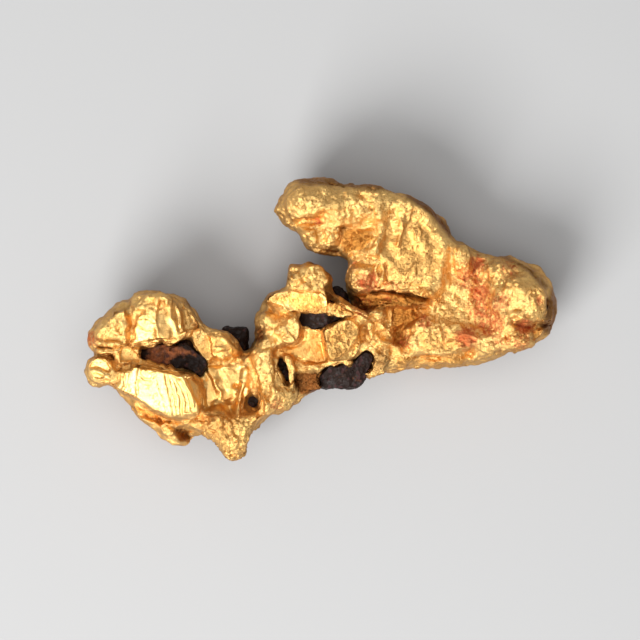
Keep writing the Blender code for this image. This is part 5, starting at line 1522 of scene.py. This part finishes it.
# the gold that laps over the stones, and so gives their outlines
RIMS = Region(
    facets=(
        Facet("-21,-2.5 -21,-3.1 -20.2,-3.2 -18.1,-3.1 -17.6,-2.5 -17.2,-2.45 -16.7,-3 -16.1,-3 "
              "-15.3,-2.4 -14.7,-1.9 -14.5,-1 -16,-1.9 -18,-2.2",
              lean=(0.0, 0.8), hold=0.95, blend=0.12, level=12.3),
        Facet("-14.15,-1.2 -14,-3.1 -13.4,-3.7 -12.6,-4.5 -12.1,-5.1 -11.9,-2.6 -12.8,-1.2",
              lean=(-0.1, 0.1), hold=0.95, blend=0.15, level=10.75),
        Facet("-20.5,-4.1 -19.8,-4 -19.3,-4.3 -18.7,-4.25 -18.2,-4.6 -17.8,-4.8 -17.2,-4.8 -16.9,-5.05 "
              "-16.4,-4.95 -16.1,-5.2 -15.9,-5.5 -15.2,-5.5 -14.4,-5.6 -13.8,-6.2 -14.2,-6.6 -15.4,-6.2 "
              "-17,-5.8 -19,-5.4 -21,-5.4", lean=(0.1, -1.3), hold=0.9, blend=0.15, level=12.6),
        Facet("-3,-5.8 -0.6,-6.1 0.2,-5.5 0.5,-5.9 -0.1,-6.7 0.3,-7.2 0.4,-7.8 -1,-8.6 -2.6,-8.6",
              lean=(0.1, 0.35), hold=0.95, blend=0.12, level=8.9),
        Facet("5.8,-4.3 5.4,-4.7 5.75,-5.2 5.1,-5.6 4.5,-6.1 4.75,-6.8 4.4,-7.6 5.6,-7.2 7,-6.2 7.2,-4.8",
              lean=(0.0, 0.45), hold=0.95, blend=0.12, level=8.8),
        Facet("0.4,-4.6 0.9,-5.2 2,-5.05 3.2,-5.3 3.6,-4.7 3.2,-4.4",
              lean=(0.1, 0.5), hold=0.95, blend=0.12, level=9.8),
        Facet("-22,-2.8 -20.8,-2.9 -20.3,-3.3 -19.8,-3.8 -19.6,-4.3 -20.6,-4.7 -22,-4.6",
              lean=(0.15, 0.2), hold=0.95, blend=0.25, level=12.0),
    ),
    grains=(
        Grain("0.4,-4.6 1,-5.3 3.4,-5.5 3.8,-4.7 3.2,-4.4", 0.35, 0.12),
        Grain("5.8,-4 4.6,-5.8 4.3,-7.8 7.2,-6.6 7.4,-4.6", 0.4, 0.12),
    ),
)

# all the regions, in the order in which they are worked
REGIONS = (CROWN, KNOB, BLOCK, SHELF, SADDLE, BASIN, TAIL, COLUMN, HEART, CREST, NECK, BALL, LIP, PLATE,
           ARM, STEP_LEDGE, DOME, RIMS)

# smooth, but not rubbed bright
MATT_PLATE = Patch("6.6,3.7 9.4,3.6 12,3.3 13.6,3.9 14.1,6 13.9,8.8 12.9,10.9 "
                   "11,12 8.4,12 6.6,11.4 6.4,9.8 5,7.4 6.9,6", 0.85, 1.0)

# the faces that stand proud, and are rubbed bright
POLISHED: tuple[Patch, ...] = (
    Patch("-4.8,-3 -2,-2.4 -2,-0.7 -0.4,-1.1 0.3,-2.6 0.9,-4.8 -1,-5.2 -3,-4.2", 0.9, 0.4),
    Patch("-22.8,-7.4 -21.4,-5.6 -19.6,-4.7 -15.4,-5.5 -13.4,-6.6 -12.8,-10 -15.4,-11 -18.4,-9.8 -21,-8.6",
          0.75, 0.5),
    Patch("-13.4,-4.8 -8.4,-4.6 -7.4,-7.4 -9.2,-10.4 -13,-10.4", 0.85, 0.6),
    Patch("-20.9,-3 -20.4,0.6 -18,0.8 -15,1.6 -14.4,-1.8 -17.6,-2.8", 0.7, 0.6),
    Patch("-13.6,-3.6 -12.6,-1.6 -10.2,-1.6 -9,-3.2 -9.8,-4.6 -12,-4.8", 0.7, 0.5),
    Patch("-5.4,1.6 -3.4,3 -0.6,3.3 1,2.8 1.4,1.4 -2.4,1 -4.6,1.1", 0.75, 0.5),
    Patch("-25.6,-5.4 -24.6,-4 -22.8,-4.4 -22.6,-6.2 -24.2,-7.2", 0.6, 0.5),
)

# painted shade and painted reflection: the deeper colour of hollows, where gold mirrors gold, and of faces
# in each other's shade
AMBER_AND_SHADE: tuple[Patch, ...] = (
    Patch(PLATE_FACE, 0.35, 1.0),
    Patch(UNDER_LIP, 0.8, 0.5),
    Patch("10.6,-1 16.4,-1 16.6,-3.6 10.6,-3.6", 0.3, 0.6),
    Patch("-13.8,-3.6 -13,-1.2 -10.2,-1.2 -8.6,-3.2 -9.8,-4.8 -12,-5", 0.35, 0.8),
    Patch("-13.2,-9.6 -8,-8 -7.4,-10.6 -11,-15.4 -15,-13.4 -16.6,-11", 0.25, 1.0),
    Patch("0.4,-0.6 4.6,-0.2 4.6,-2 2.2,-5 0.8,-4.6", 0.4, 0.6),
    Patch("6.6,3.4 13.6,3.2 14.4,1.2 6,1.4", 0.4, 0.6),
    Patch(ARM_HOLLOW, 0.8, 0.6),
    Patch(RECESS, 0.5, 0.6),
    Patch(FOOT_RIM, 0.45, 0.6),
    Patch("-21.3,1.2 -20.3,0.9 -20.4,-1.4 -20.9,-3 -24.2,-2.9 -24,-1.8 -21.5,-1.9", 0.4),
    Patch("-21.2,-8.8 -18.6,-9.9 -16.8,-11 -17.2,-11.8 -19.2,-11 -21,-10.2", 0.9),
    Patch("-10.4,-2.4 -8.8,-3.2 -7.2,-2.9 -7.2,-4.2 -9.2,-4.6 -10.4,-4", 0.8),
    Patch("-5.3,1.4 -3.9,1.2 -2.4,0.6 -3.4,-0.1 -4.8,-0.5", 0.8),
    Patch("-2,-0.8 0.2,-1.2 0.5,-3 0.9,-4.9 -1.4,-5.4 -2.6,-5 -5,-3.6 -4.8,-2.9 -2.2,-2.4", 0.5),
    Patch("-6,2 -3.6,3.2 0.3,3 0.9,0.6 -2.4,0.8 -4.4,1.4", 0.75),
    Patch("-12.6,-5 -9,-5 -8.4,-7.4 -9.4,-9.8 -12.6,-9.8", 0.3, 0.6),
    Patch("0.5,3.1 1.4,2.6 3.3,1.2 3.9,0.3 1.2,0.4 0.4,1.4", 0.7),
    Patch("2.8,3 6,3.2 9.2,3 12,2.6 12,1.5 8,1.2 4,1", 1.0),
    Patch("7.4,1.6 11.2,1.6 10.9,-0.2 9.4,-1.4 9.8,-3.6 8,-3 7.6,-1.2", 0.9),
    Patch("2.2,8.2 3.6,9 5.8,9.9 6.2,9 4.8,7.3 2.6,6.9", 1.0),
    Patch("-16.4,-12 -14.2,-12.1 -14.4,-13.6 -15.9,-13.5", 1.0),
    Patch("23.2,-0.8 25.3,-0.7 24.2,-2.2 22.9,-2.9", 0.8),
    Patch("-1.2,10.4 0.6,10.6 0.8,12 -0.6,11.8", 0.6),
    Patch("-2.8,5.2 -3.6,5.2 -3.6,4.6 -2.8,4.6", 0.6),
)

# the brown film that stays where nothing rubs, and painted shade in the recesses, under the lip and along
# the rims turned from the key light
TARNISH_AND_SHADE: tuple[Patch, ...] = (
    Patch("-7.6,-0.2 -5.8,-0.4 -5.4,-2.2 -7,-3.4 -7.8,-2.4", 0.9, 0.9),
    Patch("-2.9,-5.6 -0.6,-5.4 0.6,-5.8 0.6,-8.2 -2.4,-8.8 -3.4,-7.2", 0.92, 0.6),
    Patch(ARM_HOLLOW, 0.4, 0.6),
    Patch(RECESS, 0.5, 0.6),
    Patch(FOOT_RIM, 0.2, 0.6),
    Patch("-13.8,-1 -8,-2.6 -7.6,-10.6 -11,-15.4 -15,-13.4 -13.4,-9", 0.14, 0.8),
    Patch(PLATE_FACE, 0.16, 1.0),
    Patch(UNDER_LIP, 0.55, 0.5),
    Patch("5.8,-2.9 7.8,-3 8.2,-5.6 5.6,-6.6 5.4,-4.8", 0.55, 0.8),
    Patch("23.6,-0.6 24.2,2 25,4.2 27,4.2 27,-2.4 24,-2.4", 0.8, 1.2),
    Patch("7.8,15 12,13.4 15.8,9 13.9,8.6 12,11 9.4,12.8", 0.85, 0.8),
    Patch("-4.4,16.2 2.6,16.2 8.4,15 8,13.6 2.4,14.1 -2.4,14.4", 0.75, 0.8),
    Patch("16,9 20.4,7.6 23.6,6 26,3.6 24.6,2.6 22.6,4.8 20,6.2 16.4,7.6", 0.7, 0.8),
    Patch("0.2,7 0.4,7.9 2.2,8 2.4,7", 0.9, 0.5),
    Patch("-13.8,-6.2 -12.5,-6.4 -12.2,-8 -12.5,-9.8 -13.4,-10 -13.2,-8.4", 0.45, 0.6),
    Patch("-17.9,2.6 -16.9,2.4 -16.6,0.4 -16.2,-1.6 -17.9,-2.2", 0.25, 0.6),
    Patch("3,2.9 6,3.1 12,2.8 12,1.5 8,1.2 4,1", 0.5, 0.7),
    Patch("-16.4,-11.7 -14,-11.9 -14.2,-13.7 -16,-13.6", 0.6, 0.5),
)

# red iron stain, mostly on the domed right end
STAINS: tuple[Spot, ...] = (
    Spot((16.4, 4.6), 1.6, 0.8), Spot((17.2, 6.2), 1.0, 0.9), Spot((15.5, 6.6), 0.9, 0.5),
    Spot((17.6, 3), 1.2, 0.9), Spot((17.4, 1.2), 1.4, 0.8), Spot((19.6, 1.8), 1.2, 0.8),
    Spot((18.6, -0.4), 1.8, 0.8), Spot((22.4, -0.8), 1.0, 1.0), Spot((19.6, -2.4), 1.4, 0.6),
    Spot((22.2, -2.6), 1.2, 0.7), Spot((20.6, 5.6), 1.2, 0.6), Spot((24, 2), 0.6, 0.8),
    Spot((16, -2), 1.3, 1.0), Spot((13.8, -1.8), 0.9, 0.5), Spot((11.4, -0.2), 0.9, 0.8),
    Spot((9.4, -2.4), 0.8, 0.7), Spot((5.2, 4.1), 1.3, 0.9), Spot((3.6, 5.8), 0.7, 0.6),
    Spot((-25.3, -2.1), 0.9, 0.9), Spot((-4.7, -9.4), 0.9, 0.6), Spot((-0.3, 10.8), 0.5, 0.8),
    Spot((7.6, 3.1), 1.6, 0.6), Spot((4.6, 1.4), 1.4, 0.6), Spot((16.6, -0.6), 1.6, 0.4),
)


@dataclass(frozen=True)
class Wear:
    """How the skin's marks, and its painted shade, follow from its shape.

    Attributes:
        passes: how often a point's surroundings are evened before they are read.
        hollow_gain: how strongly a hollow counts for each millimetre of its depth.
        flank_shade_slope: the upward share of the outward direction below which a steep side gets painted
            shade.
        flank_shade_most: the most painted shade that a steep side gets.
        stain_edge: how far from its middle a stain has faded out, in its own reaches.
        stain_gain: how soon a stain ends on a steepening slope.
        plate_polish: how bright the smooth plate is.
    """

    passes: int = 8
    hollow_gain: float = 5.0
    flank_shade_slope: float = 0.55
    flank_shade_most: float = 0.6
    stain_edge: float = 1.6
    stain_gain: float = 3.0
    plate_polish: float = 0.6


@dataclass
class GoldBody:
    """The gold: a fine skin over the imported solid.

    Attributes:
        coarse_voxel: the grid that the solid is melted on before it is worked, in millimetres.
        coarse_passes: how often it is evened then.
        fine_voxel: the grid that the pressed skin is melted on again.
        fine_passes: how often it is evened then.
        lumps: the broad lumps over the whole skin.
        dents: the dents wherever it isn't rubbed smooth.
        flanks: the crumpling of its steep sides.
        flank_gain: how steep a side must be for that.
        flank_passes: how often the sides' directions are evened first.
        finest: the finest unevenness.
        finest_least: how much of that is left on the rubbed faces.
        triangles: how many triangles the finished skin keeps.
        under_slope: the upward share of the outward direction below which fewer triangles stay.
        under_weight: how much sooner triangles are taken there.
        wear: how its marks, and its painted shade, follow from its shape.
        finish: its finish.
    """

    coarse_voxel: float = 0.17
    coarse_passes: int = 6
    fine_voxel: float = 0.14
    fine_passes: int = 1
    lumps: Crumple = Crumple(2.6, 0.22, 3)
    dents: tuple[Crumple, ...] = (Crumple(1.3, 0.17, 4), Crumple(0.65, 0.11, 5))
    flanks: Crumple = Crumple(0.9, 0.2, 7)
    flank_gain: float = 1.4
    flank_passes: int = 2
    finest: Crumple = Crumple(0.4, 0.05, 6)
    finest_least: float = 0.25
    triangles: int = 196000
    under_slope: float = 0.5
    under_weight: float = 0.12
    wear: Wear = Wear()
    finish: NativeGold = NativeGold()

    def melted(self, mesh: bpy.types.Mesh, voxel: float, passes: int) -> Skin:
        """The mesh on an even grid, evened out.

        Args:
            mesh: the mesh that is melted.
            voxel: the grid's spacing, in millimetres.
            passes: how often it is evened.

        Returns:
            The skin, ready to be worked.
        """
        skin = Skin(with_modifier(mesh, "REMESH", {"mode": "VOXEL", "voxel_size": voxel * MM}))
        skin.smooth(passes)
        return skin

    def build(self) -> bpy.types.Object:
        """Builds the gold and puts it in the solid's place.

        Returns:
            The gold.
        """
        skin = self.melted(welded_copy("gold"), self.coarse_voxel, self.coarse_passes)
        skin.crumple(self.lumps)
        for region in REGIONS:
            for facet in region.facets:
                skin.press(facet)
            skin.settle()
        skin = self.melted(skin.mesh, self.fine_voxel, self.fine_passes)
        rough = 1.0 - skin.share_of(POLISHED + (MATT_PLATE,))
        for dent in self.dents:
            skin.crumple(dent, rough)
        for number, region in enumerate(REGIONS):
            skin.work(region, GRAIN_SEED + SEEDS_PER_REGION * number)
        skin.settle()
        steep = 1.0 - self.flank_gain * skin.relaxed(skin.out[:, 2], self.flank_passes)[:, 0]
        skin.crumple(self.flanks, np.clip(steep, 0.0, 1.0))
        skin.crumple(self.finest, self.finest_least + (1.0 - self.finest_least) * rough)
        # flat where it stands on the floor
        skin.at[:, 2] = np.maximum(skin.at[:, 2], 0.0)
        skin.settle()
        LOG.info("worked: %d faces", len(skin.mesh.polygons))
        self.dress(skin)
        return add_piece("gold_skin", self.thinned(skin), self.finish.material(), "gold")

    def thinned(self, skin: Skin) -> bpy.types.Mesh:
        """The skin with fewer triangles, most of them left where it faces up.

        Args:
            skin: the worked and dressed skin.

        Returns:
            The mesh to show.
        """
        ratio = self.triangles / (2 * len(skin.mesh.polygons))
        under = np.clip(self.under_slope - skin.out[:, 2], 0.0, 1.0)
        settings = {"decimate_type": "COLLAPSE", "ratio": ratio, "vertex_group": "weights",
                    "vertex_group_factor": self.under_weight}
        return with_modifier(skin.mesh, "DECIMATE", settings, under)

    def dress(self, skin: Skin) -> None:
        """Stores what the material reads: hollows, the deeper-coloured and the brown stretches with the
        painted shade of the steep sides, stains, polish.

        Args:
            skin: the worked skin.
        """
        wear = self.wear
        # painted shade on the steep sides: the steeper, the deeper in colour and the browner, up to a most
        up = skin.relaxed(skin.out[:, 2], wear.passes)[:, 0]
        flank_shade = np.clip(wear.flank_shade_slope - up, 0.0, wear.flank_shade_most)
        stain = np.zeros(len(skin.at))
        for spot in STAINS:
            away = np.hypot(skin.at[:, 0] - spot.centre[0], skin.at[:, 1] - spot.centre[1]) / spot.reach
            stain = np.maximum(stain, spot.strength * np.clip(wear.stain_edge - away, 0.0, 1.0))
        plate = wear.plate_polish * skin.share_of((MATT_PLATE,))
        skin.store("hollow", np.clip(skin.hollow(wear.passes) * wear.hollow_gain, 0.0, 1.0))
        skin.store("amber_and_shade", np.maximum(skin.share_of(AMBER_AND_SHADE), flank_shade))
        skin.store("tarnish_and_shade", np.maximum(skin.share_of(TARNISH_AND_SHADE), flank_shade))
        skin.store("stain", stain * np.clip(skin.out[:, 2] * wear.stain_gain, 0.0, 1.0))
        skin.store("polish", np.maximum(skin.share_of(POLISHED), plate))


@dataclass(frozen=True)
class StoneChip:
    """One chip of ironstone, grown to fill its pocket and broken rough.

    Attributes:
        node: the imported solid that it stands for.
        seed: picks its roughness.
        breaks: the flat breaks that cut it back.
        growth: how far it grows into the gold round it, in millimetres.
        rusty: the weathered stretches.
        voxel: the grid that it is melted on, in millimetres.
        chunks: the width and height of its lumps, before it is broken, in millimetres.
        shards: the same for the roughness of its breaks, from coarse to fine.
    """

    node: str
    seed: int
    breaks: tuple[Break, ...]
    growth: float = 0.35
    rusty: tuple[Patch, ...] = ()
    voxel: float = 0.1
    chunks: Point = (1.6, 0.3)
    shards: tuple[Point, ...] = ((0.7, 0.12), (0.35, 0.06))

    def build(self, material: bpy.types.Material) -> bpy.types.Object:
        """Builds the chip and puts it in the solid's place.

        Args:
            material: the ironstone.

        Returns:
            The chip.
        """
        settings = {"mode": "VOXEL", "voxel_size": self.voxel * MM}
        skin = Skin(with_modifier(welded_copy(self.node), "REMESH", settings))
        skin.at[:, :2] += skin.out[:, :2] * self.growth
        skin.settle()
        skin.crumple(Crumple(*self.chunks, self.seed))
        for cut in self.breaks:
            way = np.array(Vector(cut.way).normalized())
            skin.at -= np.clip((skin.at - np.array(cut.spot)) @ way, 0.0, None)[:, None] * way
        skin.settle()
        for number, shard in enumerate(self.shards, start=1):
            skin.crumple(Crumple(*shard, self.seed + number))
        skin.store("weathered", skin.share_of(self.rusty))
        return add_piece(self.node + "_chip", skin.mesh, material, self.node)


# the seam stone is weathered along its left and its upper edge
SEAM_RUST = (
    Patch("-19.6,-2.6 -15.6,-2.4 -15,-3.4 -16.4,-5.2 -19.6,-5", 0.8, 0.7),
    Patch("-16,-2.6 -13.4,-3.6 -13.4,-4.5 -16,-3.6", 0.7, 0.4),
)

# each chip, with the flat breaks that cut it back into its pocket
CHIPS = (
    StoneChip("ironstone_seam", 31, (
        Break((-18.0, -3.7, 11.2), (0.1, 0.15, 1.0)),
        Break((-15.2, -3.8, 11.5), (-0.35, 0.1, 1.0)),
        Break((-13.6, -4.6, 10.9), (0.3, -0.2, 1.0)),
        Break((-19.8, -4.2, 11.0), (-0.45, -1.0, 0.3)),
        Break((-19.0, -3.1, 11.0), (-0.1, 1.0, 0.4)),
    ), rusty=SEAM_RUST),
    StoneChip("ironstone_saddle", 32, (
        Break((-9.0, -2.0, 6.8), (0.03, -0.05, 1.0)),
        Break((-7.95, -2.0, 6.0), (1.0, 0.1, 0.1)),
        Break((-9.4, -0.9, 6.0), (0.0, 1.0, 0.1)),
    ), growth=0.1),
    StoneChip("ironstone_crest", 33, (
        Break((-1.2, 0.0, 10.1), (0.05, -0.3, 1.0)),
        Break((1.4, 0.0, 10.5), (-0.3, -0.5, 1.0)),
    )),
    StoneChip("ironstone_belly", 34, (
        Break((1.4, -6.4, 8.9), (0.1, -0.15, 1.0)),
        Break((3.4, -5.9, 9.1), (-0.2, -0.35, 1.0)),
        Break((5.2, -4.4, 9.3), (0.25, 0.0, 1.0)),
        Break((2.4, -7.55, 8.0), (0.0, -1.0, 0.15)),
        Break((4.3, -7.3, 8.0), (1.0, -0.9, 0.2)),
    ), growth=0.3),
    StoneChip("ironstone_gap", 35, (Break((2.0, 2.8, 7.1), (0.1, -0.2, 1.0)),), growth=0.1),
    StoneChip("ironstone_grain_slot", 36, (Break((-4.1, -5.2, 8.6), (0.2, 0.2, 1.0)),)),
    StoneChip("ironstone_grain_pit", 37, (Break((-7.4, -8.9, 8.5), (0.2, -0.2, 1.0)),), growth=0.7),
)


@dataclass(frozen=True)
class Light:
    """A square soft light that points at the nugget.

    Attributes:
        name: the light's name.
        way: from the nugget towards the light.
        away: its distance, in metres.
        size: its side, in metres.
        power: its power, in watts.
    """

    name: str
    way: Place
    away: float
    size: float
    power: float

    def add(self) -> None:
        """Adds the light to the scene."""
        data = bpy.data.lights.new(self.name, "AREA")
        data.size = self.size
        data.energy = self.power
        lamp = bpy.data.objects.new(self.name, data)
        way = Vector(self.way).normalized()
        lamp.location = way * self.away
        lamp.rotation_mode = "QUATERNION"
        lamp.rotation_quaternion = way.to_track_quat("Z", "Y")
        lamp.visible_camera = False
        bpy.context.scene.collection.objects.link(lamp)


# one soft light straight above, and a stronger one off the lower left
LIGHTS = (
    Light("overhead", (0.0, 0.0, 1.0), away=0.65, size=0.6, power=2.1),
    Light("key", (-0.5, -0.75, 0.85), away=0.6, size=0.35, power=4.8),
)


@dataclass(frozen=True)
class Studio:
    """The pale floor, the world's light and the camera that looks straight down.

    Attributes:
        paper: the floor's colour.
        paper_roughness: its roughness.
        paper_size: its half side, in metres.
        glow: the strength of the world's white light.
        frame_width: what the camera sees across, in millimetres.
        lens: its focal length, in millimetres.
        sensor: its sensor's width, in millimetres.
        focus_height: the height at which that width holds, in millimetres.
        aim: the place that it looks down at, along x and along y, in millimetres.
        clip: the nearest and the farthest that it sees, in metres.
    """

    paper: str = "b4b4b4"
    paper_roughness: float = 0.9
    paper_size: float = 1.5
    glow: float = 0.3
    frame_width: float = 70.4
    lens: float = 400.0
    sensor: float = 36.0
    focus_height: float = 9.0
    aim: float = -0.055
    clip: Point = (0.05, 10.0)

    def floor(self) -> None:
        """Lays the floor."""
        bm = bmesh.new()
        bmesh.ops.create_grid(bm, x_segments=1, y_segments=1, size=self.paper_size)
        mesh = bpy.data.meshes.new("floor")
        bm.to_mesh(mesh)
        bm.free()
        material = bpy.data.materials.new("matt paper")
        material.use_nodes = True
        shader = material.node_tree.nodes["Principled BSDF"]
        shader.inputs["Base Color"].default_value = linear(self.paper)
        shader.inputs["Roughness"].default_value = self.paper_roughness
        mesh.materials.append(material)
        sheet = bpy.data.objects.new("floor", mesh)
        bpy.context.scene.collection.objects.link(sheet)

    def world(self) -> None:
        """Lights the scene evenly from all round."""
        world = bpy.data.worlds.new("studio")
        world.use_nodes = True
        background = world.node_tree.nodes["Background"]
        background.inputs["Color"].default_value = linear("ffffff")
        background.inputs["Strength"].default_value = self.glow
        bpy.context.scene.world = world
        bpy.context.scene.view_settings.view_transform = "Standard"

    def camera(self) -> None:
        """Hangs the camera."""
        data = bpy.data.cameras.new("camera")
        data.lens = self.lens
        data.sensor_width = self.sensor
        data.clip_start, data.clip_end = self.clip
        away = self.frame_width * self.lens / self.sensor
        camera = bpy.data.objects.new("camera", data)
        camera.location = (self.aim * MM, self.aim * MM, (away + self.focus_height) * MM)
        bpy.context.scene.collection.objects.link(camera)
        bpy.context.scene.camera = camera

    def build(self) -> None:
        """Sets up the floor, the lights, the world and the camera."""
        self.floor()
        for light in LIGHTS:
            light.add()
        self.world()
        self.camera()


def main() -> None:
    """Builds the pieces in order and reports each."""
    logging.basicConfig(level=logging.INFO, format="%(message)s")
    GoldBody().build()
    stone = Ironstone().material()
    for chip in CHIPS:
        chip.build(stone)
    Studio().build()


if __name__ == "__main__":
    main()
